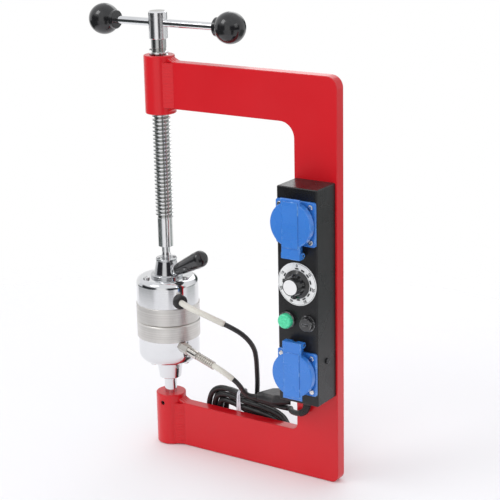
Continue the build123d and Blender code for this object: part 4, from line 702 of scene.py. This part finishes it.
# Frame and bosses: plasma-cut steel plate and round bar, welded, then sprayed with thick glossy
# red enamel that rounds the edges and shows a slight orange peel.
def enamel(name, edge_radius, wear_and_highlight):
    """The red paint, chipped at the edges where wear is above nothing."""
    made, tree = finish_named(name)
    place = placed_on(tree)
    edge = edged(tree, edge_radius, wear_and_highlight)
    deep_red = (0.57, 0.003, 0.009, 1)
    bright_red = (0.65, 0.006, 0.014, 1)
    worn_red = (0.30, 0.02, 0.02, 1)
    shade = mixed(tree, noise(tree, place, scale=9.0, detail=3.0), deep_red, bright_red)
    peel = noise(tree, place, scale=260.0)
    surface(
        tree,
        Base_Color=mixed(tree, edge["Mask"], shade, worn_red),
        Roughness=mapped(tree, noise(tree, place, scale=14.0, detail=5.0), to_low=0.22, to_high=0.42),
        Normal=bump(tree, peel, strength=0.10, distance=0.0006, normal=edge["Normal"]),
        Specular_IOR_Level=0.32,
        Coat_Weight=0.3,
        Coat_Roughness=0.08,
    )
    return made


paint(enamel("red_enamel", edge_radius=0.0016, wear_and_highlight=0.35), "frame_plate", "upper_boss", "lower_boss")

# Weld seams: the rippled beads of steel that join the bosses to the arms, laid by hand up both
# faces of the plate and over its edges, and painted together with the frame.
seam_finish = enamel("enamel_over_weld", edge_radius=0.0004, wear_and_highlight=0.0)
arm_height = 0.060
arm_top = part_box("frame_plate")[1][2]
boss_radius = 0.020
plate_half = 0.008
seam_on_boss = 0.01485
seam_on_plate = 0.028
seam_root = 0.016
seam_swell = 0.0011
seam_end_gap = 0.0012
seam_lift = 0.005
seam_bite = 0.0003
ripple_height = 0.00035
ripple_pitch = 0.0041
ripple_starts = {-1: -1.3, 0: 0.7, 1: 1.3}
drop_share = 0.6
wander_share = 0.4
wander_rate = 0.37
section_steps = 10
face_steps = 96
edge_steps = 24


def across_seam(start, middle, end, bulge, root):
    """Points across a bead: a curve that leaves both walls flat and swells between them."""
    points = []
    for step in range(section_steps + 1):
        share = step / section_steps
        spot = start * (1 - share) ** 2 + middle * 2 * share * (1 - share) + end * share**2
        points.append(spot + bulge * math.sin(math.pi * share))
    return points + [root]


def ripple(distance, start):
    """The height of a bead's ripples along it, uneven as a hand-laid weld is."""
    turn = 2 * math.pi * distance / ripple_pitch + start
    wander = wander_share * math.sin(wander_rate * turn + 2 * start)
    return ripple_height * (1 + drop_share * math.sin(turn) + wander)


def face_row(side, z):
    """A row across the bead between the boss and one face of the plate."""
    touch = math.sqrt(boss_radius**2 - seam_on_boss**2)
    meeting = touch + seam_on_boss / touch * (seam_on_boss - plate_half)
    return across_seam(
        Vector((touch - seam_bite, side * (seam_on_boss - seam_bite), z)),
        Vector((meeting, side * plate_half, z)),
        Vector((seam_on_plate, side * (plate_half - seam_bite), z)),
        Vector((0, side * (seam_swell + ripple(z, ripple_starts[side])), 0)),
        Vector((seam_root, side * plate_half / 2, z)),
    )


def edge_row(y, z, way):
    """A row across the bead between the boss and an edge of the plate."""
    wall = math.sqrt(boss_radius**2 - y**2)
    swell = seam_swell / 2 + ripple(y, ripple_starts[0])
    return across_seam(
        Vector((wall - seam_bite, y, z + way * seam_lift)),
        Vector((wall, y, z)),
        Vector((seam_on_plate, y, z - way * seam_bite)),
        Vector((swell, 0, way * swell)),
        Vector((seam_root, y, z - way * seam_lift / 2)),
    )


def boss_weld(name, bottom, edges_welded):
    """All the beads of one boss: two up the faces of its arm, and one over each open edge."""
    shape = bmesh.new()
    start = bottom + seam_end_gap
    face_length = arm_height - 2 * seam_end_gap
    for side in (-1, 1):
        heights = [start + face_length * step / face_steps for step in range(face_steps + 1)]
        skin(shape, [face_row(side, z) for z in heights])
    for z, way in edges_welded:
        places = [plate_half * (2 * step / edge_steps - 1) for step in range(edge_steps + 1)]
        skin(shape, [edge_row(y, z, way) for y in places])
    bmesh.ops.recalc_face_normals(shape, faces=shape.faces)
    bead = piece_of(name, shape, seam_finish)
    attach(bead, "stand")


boss_weld("upper_boss_weld", arm_top - arm_height, [(arm_top, 1), (arm_top - arm_height, -1)])
boss_weld("lower_boss_weld", 0.0, [(arm_height, 1)])

# Clamp screw: bright steel bar with a rolled trapezoidal thread and a turned shank, screwed through
# the upper boss. Painted shade darkens the roots of the thread, and stops short of the shank.
def layered(tree, place, scale, detail):
    """A cloudy value that changes along the upright axis alone."""
    sockets = {"W": split(tree, place)["Z"], "Scale": scale, "Detail": detail}
    return put(tree, "ShaderNodeTexNoise", sockets, noise_dimensions="1D").outputs["Fac"]


def turned_lines(tree, place, spacing, strength, normal):
    """The normal of fine lathe lines across the upright axis."""
    return bump(tree, layered(tree, place, 1 / spacing, 4.0), strength, distance=0.0003, normal=normal)


screw_finish, tree = finish_named("rolled_thread")
screw_place = placed_on(tree)
screw_spot = split(tree, screw_place)
screw_flat = put(tree, "ShaderNodeCombineXYZ", {"X": screw_spot["X"], "Y": screw_spot["Y"]}).outputs[0]
clean_steel = (0.90, 0.90, 0.91, 1)
# Painted shade: the steel is darkened in the roots of the thread.
root_shade_steel = (0.42, 0.43, 0.41, 1)
thread_root = 0.00925
root_shade_depth = 0.0016
thread_foot = 0.312
root_shade_fade = 0.004
root_shade_mask = calc(
    tree,
    "MULTIPLY",
    mapped(tree, length_of(tree, screw_flat), low=thread_root + root_shade_depth, high=thread_root),
    mapped(tree, screw_spot["Z"], low=thread_foot, high=thread_foot + root_shade_fade),
)
screw_edge = edged(tree, radius=0.0004, wear_and_highlight=0.4)
surface(
    tree,
    Base_Color=mixed(tree, root_shade_mask, clean_steel, root_shade_steel),
    Metallic=1.0,
    Roughness=smeared(tree, scale=60.0, clean=0.16, dull=0.30),
    Normal=turned_lines(tree, screw_place, spacing=0.0005, strength=0.08, normal=screw_edge["Normal"]),
)
paint(screw_finish, "clamp_screw")

# Bright steel: the cups are spun from sheet, the bar, pin, lower hub and ferrule are turned, and
# all are polished and chrome plated. Fingers have smeared them.
def turned_metal(name, cloud, shades, edge, lines, marked, **sockets):
    """Turned metal: clouds or layers of two shades, worn edges, lathe lines and finger marks."""
    made, tree = finish_named(name)
    place = placed_on(tree)
    clouded, scale, detail = cloud
    surface(
        tree,
        Base_Color=mixed(tree, clouded(tree, place, scale, detail), *shades),
        Metallic=1.0,
        Roughness=smeared(tree, **marked),
        Normal=turned_lines(tree, place, normal=edged(tree, **edge)["Normal"], **lines),
        **sockets,
    )
    return made


chrome_finish = turned_metal(
    "chrome_plate",
    cloud=(noise, 22.0, 2.0),
    shades=((0.70, 0.71, 0.72, 1), (0.86, 0.86, 0.87, 1)),
    edge={"radius": 0.0005, "wear_and_highlight": 0.5},
    lines={"spacing": 0.0006, "strength": 0.05},
    marked={"scale": 38.0, "clean": 0.05, "dull": 0.22},
)
paint(chrome_finish, "tommy_bar", "upper_cup", "lower_cup", "lower_hub", "lower_pin", "handle_ferrule")

# Ball knobs, the handle's grip and the timer's knob: moulded black phenolic resin with a deep
# gloss and a slight waviness. They are screwed or pressed on.
phenolic_finish, tree = finish_named("black_phenolic")
phenolic_edge = edged(tree, radius=0.0006, wear_and_highlight=0.0)
phenolic_wave = noise(tree, placed_on(tree), scale=90.0)
surface(
    tree,
    Base_Color=dusted(tree, (0.010, 0.010, 0.011, 1), scale=140.0, amount=0.05),
    Roughness=smeared(tree, scale=50.0, clean=0.14, dull=0.30),
    Normal=bump(tree, phenolic_wave, strength=0.06, distance=0.0006, normal=phenolic_edge["Normal"]),
    Coat_Weight=0.4,
    Coat_Roughness=0.05,
)
paint(phenolic_finish, "bar_knobs", "handle_grip", "timer_knob")

# Upper hub and its split ring: turned steel under thin chrome, with deeper lathe lines that show
# as dark streaks. Two small screws hold the ring's halves.
hub_finish = turned_metal(
    "hub_chrome",
    cloud=(noise, 60.0, 3.0),
    shades=((0.46, 0.47, 0.48, 1), (0.74, 0.75, 0.76, 1)),
    edge={"radius": 0.0007, "wear_and_highlight": 0.5},
    lines={"spacing": 0.0009, "strength": 0.22},
    marked={"scale": 45.0, "clean": 0.06, "dull": 0.24},
)
paint(hub_finish, "upper_hub", "hub_cap")

# Heater plates: turned aluminium, left bare, with fine lathe rings and a dull heat bloom. Screws
# from inside the cups hold them.
platen_finish = turned_metal(
    "turned_aluminium",
    cloud=(layered, 420.0, 3.0),
    shades=((0.56, 0.54, 0.51, 1), (0.82, 0.80, 0.77, 1)),
    edge={"radius": 0.0004, "wear_and_highlight": 0.6},
    lines={"spacing": 0.0007, "strength": 0.35},
    marked={"scale": 26.0, "clean": 0.30, "dull": 0.44},
    Anisotropic=0.4,
)
paint(platen_finish, "upper_platen", "lower_platen")

# Insulators and thermostats inside the heads: discs and bodies of pressed mica flakes, grey-brown,
# clamped behind the heater plates.
mica_finish, tree = finish_named("pressed_mica")
flake_shape = {"Vector": placed_on(tree), "Scale": 180.0}
mica_flakes = put(tree, "ShaderNodeTexVoronoi", flake_shape).outputs["Distance"]
brown_mica = (0.30, 0.25, 0.17, 1)
grey_mica = (0.55, 0.49, 0.38, 1)
surface(
    tree,
    Base_Color=mixed(tree, mica_flakes, brown_mica, grey_mica),
    Roughness=0.6,
    Normal=bump(tree, mica_flakes, strength=0.2, distance=0.001),
)
paint(mica_finish, "upper_insulator", "lower_insulator", "upper_thermostat", "lower_thermostat")

# Hidden metal: the hardened thrust washer, the heating elements' steel tubes and the lids' springs,
# and the brass contacts pushed into the sockets' inserts.
bare_steel = (0.42, 0.42, 0.43)
steel_finish = small_metal("bare_steel", bare_steel, clean=0.30, dull=0.50, grain=500.0)
paint(steel_finish, "thrust_washer", "upper_element", "lower_element", "lid_springs")
brass = (0.80, 0.60, 0.28)
paint(small_metal("contact_brass", brass, clean=0.25, dull=0.40, grain=400.0), "socket_contacts")

# Lead gland and its strain spring: the gland's nut and barrel are turned brass, nickel plated, and
# the spring is wound from bright steel wire and pushed over the barrel.
paint(nickel_finish, "lower_gland")
bright_wire = (0.80, 0.75, 0.70)
paint(small_metal("spring_wire", bright_wire, clean=0.14, dull=0.28, grain=400.0), "strain_spring")

# Screws and hinge pins: zinc-plated steel. The box's own screws are blackened. The grub screw sunk
# into the lower boss shares a node with the lower heater's bright screws; below the boss's top it is
# painted black, as painted shade in its hole.
zinc = (0.86, 0.86, 0.86)
zinc_look = {"colour": zinc, "clean": 0.14, "dull": 0.30, "grain": 420.0}
zinc_finish = small_metal("zinc_plate", **zinc_look)
paint(zinc_finish, "upper_heater_screws", "socket_screws", "lid_pins")
blackened = (0.10, 0.10, 0.105)
paint(small_metal("blackened_steel", blackened, clean=0.25, dull=0.42, grain=400.0), "box_screws")
lower_boss_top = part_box("lower_boss")[1][2]
grub_finish = small_metal("heater_and_grub_screws", hole_shade_below=lower_boss_top, **zinc_look)
paint(grub_finish, "lower_heater_screws")

# Control box: cover and back plate of folded sheet steel, powder coated in charcoal black with a
# fine sandy texture, and screwed to the column.
box_finish, tree = finish_named("black_powder_coat")
box_edge = edged(tree, radius=0.0012, wear_and_highlight=0.35)
box_sand = noise(tree, placed_on(tree), scale=1500.0, detail=3.0)
charcoal_coat = (0.010, 0.010, 0.011, 1)
worn_coat = (0.16, 0.16, 0.16, 1)
box_coat = dusted(tree, charcoal_coat, scale=40.0, amount=0.06)
surface(
    tree,
    Base_Color=mixed(tree, box_edge["Mask"], box_coat, worn_coat),
    Specular_IOR_Level=0.42,
    Roughness=smeared(tree, scale=18.0, clean=0.26, dull=0.40),
    Normal=bump(tree, box_sand, strength=0.35, distance=0.0003, normal=box_edge["Normal"]),
)
paint(box_finish, "box_cover", "box_back")

# Mains gland and timer body: black nylon, moulded, dull. The gland is locked into the box's floor
# and the timer hangs behind the dial.
nylon_finish = moulded(
    "black_nylon",
    colour=(0.016, 0.016, 0.016, 1),
    dust_scale=90.0,
    dust_share=0.1,
    grain=800.0,
    detail=3.0,
    strength=0.15,
    distance=0.0003,
    roughness=0.4,
)
paint(nylon_finish, "mains_gland", "timer_body")

# Safety sockets: injection moulded blue plastic, semi-gloss, slightly milky, with a fine
# spark-eroded grain on the lids. Each is screwed to the box by its flange.
blue_finish, tree = finish_named("blue_socket_plastic")
blue_place = placed_on(tree)
blue_edge = edged(tree, radius=0.0014, wear_and_highlight=2.0, scale=90.0)
blue_grain = noise(tree, blue_place, scale=1200.0, detail=3.0)
deep_blue = (0.028, 0.175, 0.58, 1)
milky_blue = (0.042, 0.215, 0.68, 1)
# Painted highlight: the edges of the sockets and lids are lightened to pale blue.
painted_highlight_blue = (0.24, 0.50, 0.88, 1)
blue_shade = mixed(tree, noise(tree, blue_place, scale=24.0), deep_blue, milky_blue)
surface(
    tree,
    Base_Color=mixed(tree, blue_edge["Mask"], blue_shade, painted_highlight_blue),
    Roughness=smeared(tree, scale=30.0, clean=0.26, dull=0.38),
    Normal=bump(tree, blue_grain, strength=0.10, distance=0.0003, normal=blue_edge["Normal"]),
    Subsurface_Weight=0.08,
    Subsurface_Radius=(0.001, 0.001, 0.002),
    Coat_Weight=0.25,
    Coat_Roughness=0.12,
)
paint(blue_finish, "upper_socket", "upper_socket_lid", "lower_socket", "lower_socket_lid")

# Timer dial: a thin aluminium disc on the box's front behind the knob, lacquered white and printed
# with black blocks, a fine ring and the minutes.
dial_finish, tree = finish_named("dial_white")
dial_grain = noise(tree, placed_on(tree), scale=300.0)
grey_lacquer = (0.76, 0.77, 0.77, 1)
white_lacquer = (0.90, 0.91, 0.90, 1)
surface(
    tree,
    Base_Color=mixed(tree, dial_grain, grey_lacquer, white_lacquer),
    Metallic=0.0,
    Roughness=0.35,
    Normal=bump(tree, dial_grain, strength=0.05, distance=0.001),
)
paint(dial_finish, "dial_plate")

ink_finish, tree = finish_named("dial_ink")
ink_grain = noise(tree, placed_on(tree), scale=2500.0)
surface(
    tree,
    Base_Color=(0.012, 0.012, 0.014, 1),
    Roughness=mapped(tree, ink_grain, to_low=0.35, to_high=0.6),
)

dial_low, dial_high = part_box("dial_plate")
dial_middle = (Vector(dial_low) + Vector(dial_high)) / 2
dial_face = dial_low[1]
dial_radius = (dial_high[0] - dial_low[0]) / 2
dial_sweep = math.radians(300)
dial_minutes = 60
number_step = 10
number_height = 0.0048
number_circle_share = 0.855
ink_lift = 0.00012
ink_thickness = 0.00002
ink_spread = 0.00014
block_length = 2.8
block_inner_share = 0.695
block_outer_share = 0.765
line_inner_share = 0.955
line_outer_share = 0.967
arc_steps = 4


def dial_spot(minute, radius):
    """A place on the dial's face, minutes running clockwise from the top, and its turn."""
    turn = dial_sweep * minute / dial_minutes
    return Vector((
        dial_middle.x + radius * math.sin(turn),
        dial_face - ink_lift,
        dial_middle.z + radius * math.cos(turn),
    )), turn


def printed_arc(start, end, inner_share, outer_share, steps):
    """A stretch of a printed ring between two minutes."""
    for step in range(steps):
        corners = []
        for side, share in ((0, inner_share), (1, inner_share), (1, outer_share), (0, outer_share)):
            minute = start + (end - start) * (step + side) / steps
            corners.append(dial_marks.verts.new(dial_spot(minute, dial_radius * share)[0]))
        dial_marks.faces.new(corners)


dial_marks = bmesh.new()
for minute in range(0, dial_minutes + 1, number_step // 2):
    start, end = minute - block_length / 2, minute + block_length / 2
    printed_arc(start, end, block_inner_share, block_outer_share, arc_steps)
for minute in range(0, dial_minutes, number_step):
    printed_arc(minute, minute + number_step, line_inner_share, line_outer_share, 5 * arc_steps)
dial_print = piece_of("dial_marks", dial_marks, ink_finish)
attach(dial_print, "stand")

for minute in range(0, dial_minutes + 1, number_step):
    words = bpy.data.curves.new("dial_number_%d" % minute, "FONT")
    words.body = str(minute)
    words.size = number_height
    words.align_x = "CENTER"
    words.align_y = "CENTER"
    words.extrude = ink_thickness
    words.offset = ink_spread
    words.materials.append(ink_finish)
    number = bpy.data.objects.new("dial_number_%d" % minute, words)
    spot, turn = dial_spot(minute, dial_radius * number_circle_share)
    number.matrix_world = (
        Matrix.Translation(spot) @ Matrix.Rotation(turn, 4, "Y") @ Matrix.Rotation(math.pi / 2, 4, "X")
    )
    scene.collection.objects.link(number)
    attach(number, "stand")

# Cap of the timer's knob: a disc of white plastic, moulded with a slight gloss, and pressed into
# the knob's front.
cap_finish = moulded(
    "white_cap",
    colour=(0.80, 0.80, 0.80, 1),
    dust_scale=120.0,
    dust_share=0.1,
    grain=500.0,
    detail=2.0,
    strength=0.08,
    distance=0.001,
    roughness=0.3,
)
paint(cap_finish, "knob_cap")

# Fuse holder, its cap and the lamp's body: black phenolic resin, polished in the mould, with a painted
# highlight in pale grey along the edges. A nut inside the box holds each.
gloss_finish, tree = finish_named("polished_resin")
gloss_edge = edged(tree, radius=0.0014, wear_and_highlight=1.2, scale=300.0)
gloss_grain = noise(tree, placed_on(tree), scale=260.0, detail=3.0)
black_resin = (0.010, 0.010, 0.011, 1)
# Painted highlight: pale grey on the edges.
painted_highlight_resin = (0.42, 0.42, 0.43, 1)
surface(
    tree,
    Base_Color=mixed(tree, gloss_edge["Mask"], black_resin, painted_highlight_resin),
    Roughness=smeared(tree, scale=90.0, clean=0.07, dull=0.20),
    Normal=bump(tree, gloss_grain, strength=0.12, distance=0.0006, normal=gloss_edge["Normal"]),
    Coat_Weight=1.0,
    Coat_Roughness=0.04,
)
paint(gloss_finish, "fuse_cap", "fuse_holder", "lamp_body")

# Pilot lamp: a lens of clear mint-green plastic with fine facets moulded into its inside, snapped
# into the black body. A faint painted glow brightens it, though the lamp is not lit.
lens_finish, tree = finish_named("green_lens")
facet_shape = {"Vector": placed_on(tree), "Scale": 500.0}
lens_facets = put(tree, "ShaderNodeTexVoronoi", facet_shape).outputs["Distance"]
deep_green = (0.03, 0.46, 0.22, 1)
mint_green = (0.10, 0.74, 0.42, 1)
surface(
    tree,
    Base_Color=mixed(tree, lens_facets, deep_green, mint_green),
    Roughness=0.15,
    # Painted glow: a faint emission brightens the unlit lens.
    Emission_Color=(0.05, 0.55, 0.25, 1),
    Emission_Strength=0.10,
    Coat_Weight=0.5,
)
paint(lens_finish, "lamp_lens")

# Table: a round sheet of white paper under the press. It fades out towards its rim, so that no
# edge of it shows.
paper_finish, tree = finish_named("white_paper")
paper_place = placed_on(tree)
paper_radius = 0.9
paper_full_radius = 0.54
paper_sides = 96
paper_drop = 0.0005
paper_reach = length_of(tree, paper_place)
surface(
    tree,
    Base_Color=(0.92, 0.92, 0.93, 1),
    Roughness=0.7,
    Alpha=mapped(tree, paper_reach, paper_radius, paper_full_radius, interpolation_type="SMOOTHSTEP"),
    Normal=bump(tree, noise(tree, paper_place, scale=400.0), strength=0.02, distance=0.001),
)
paper_shape = bmesh.new()
bmesh.ops.create_circle(paper_shape, cap_ends=True, segments=paper_sides, radius=paper_radius)
paper = piece_of("paper_floor", paper_shape, paper_finish)
paper.location.z = -paper_drop

# Light: three square soft boxes about the press, the strongest in front and to the left, a weak one
# at the right and a wide one behind.
press_middle = Vector((0.1, 0.0, 0.28))


def soft_box(name, place, size, power):
    """A square soft box that looks at the middle of the press."""
    lamp = bpy.data.lights.new(name, "AREA")
    lamp.shape = "SQUARE"
    lamp.size = size
    lamp.energy = power
    held = bpy.data.objects.new(name, lamp)
    held.location = place
    held.rotation_euler = (press_middle - Vector(place)).to_track_quat("-Z", "Y").to_euler()
    scene.collection.objects.link(held)


soft_box("key_box", place=(-0.7, -1.2, 1.9), size=0.8, power=7.0)
soft_box("side_box", place=(1.9, -0.3, 1.2), size=0.8, power=2.0)
soft_box("back_box", place=(-0.4, 1.7, 1.3), size=1.2, power=5.0)

# Room: white to the camera, and pale walls with some dark bands, as a studio's flags and doors are,
# for the chrome and the gloss to mirror.
room = bpy.data.worlds.new("pale_room")
scene.world = room
room.use_nodes = True
tree = room.node_tree
tree.nodes.clear()
room_way = put(tree, "ShaderNodeTexCoord").outputs["Generated"]
room_split = split(tree, room_way)
room_turn = calc(tree, "ARCTAN2", room_split["Y"], room_split["X"])
room_round = mapped(tree, room_turn, low=-math.pi, high=math.pi)


def bands(stops):
    """A colour round the room: pairs of a share of the turn and a colour."""
    ramp_node = put(tree, "ShaderNodeValToRGB", {"Fac": room_round})
    ramp = ramp_node.color_ramp
    while len(ramp.elements) < len(stops):
        ramp.elements.new(0.5)
    for stop, (share, colour) in zip(ramp.elements, stops):
        stop.position = share
        stop.color = (*colour, 1)
    return ramp_node.outputs["Color"]


bright = (1.0, 1.0, 1.0)
soft = (0.80, 0.81, 0.84)
leafy = (0.28, 0.32, 0.30)
murky = (0.05, 0.065, 0.06)
dark = (0.03, 0.03, 0.035)
ceiling = (0.92, 0.93, 0.95, 1)
low_walls = bands([
    (0.0, murky), (0.19, murky), (0.225, soft), (0.35, bright), (0.37, dark), (0.405, dark),
    (0.43, bright), (0.55, soft), (0.58, leafy), (0.68, leafy), (0.71, bright), (0.96, bright),
    (0.985, murky),
])
level_walls = bands([
    (0.0, soft), (0.05, soft), (0.07, dark), (0.225, dark), (0.25, bright), (0.33, bright),
    (0.355, dark), (0.52, dark), (0.56, bright), (0.70, soft), (0.74, murky), (0.80, murky),
    (0.84, bright),
])
room_walls = mixed(tree, mapped(tree, room_split["Z"], low=-0.20, high=-0.12), low_walls, level_walls)
room_all = mixed(tree, mapped(tree, room_split["Z"], low=0.25, high=0.45), room_walls, ceiling)
fill_walls = bands([
    (0.0, (1.04, 1.04, 1.06)), (0.156, (1.10, 1.10, 1.12)), (0.40, (0.96, 0.96, 0.98)),
    (0.62, (0.72, 0.72, 0.75)), (0.80, (0.80, 0.80, 0.83)), (1.0, (1.04, 1.04, 1.06)),
])
room_fill = put(tree, "ShaderNodeBackground", {"Color": fill_walls, "Strength": 1.0}).outputs[0]
room_mirrored = put(tree, "ShaderNodeBackground", {"Color": room_all, "Strength": 0.9}).outputs[0]
room_white = put(tree, "ShaderNodeBackground", {"Color": (1, 1, 1, 1), "Strength": 1.0}).outputs[0]
room_ray = put(tree, "ShaderNodeLightPath").outputs
for ray, seen in (("Is Glossy Ray", room_mirrored), ("Is Camera Ray", room_white)):
    sockets = {"Fac": room_ray[ray], 1: room_fill, 2: seen}
    room_fill = put(tree, "ShaderNodeMixShader", sockets).outputs[0]
put(tree, "ShaderNodeOutputWorld", {"Surface": room_fill})
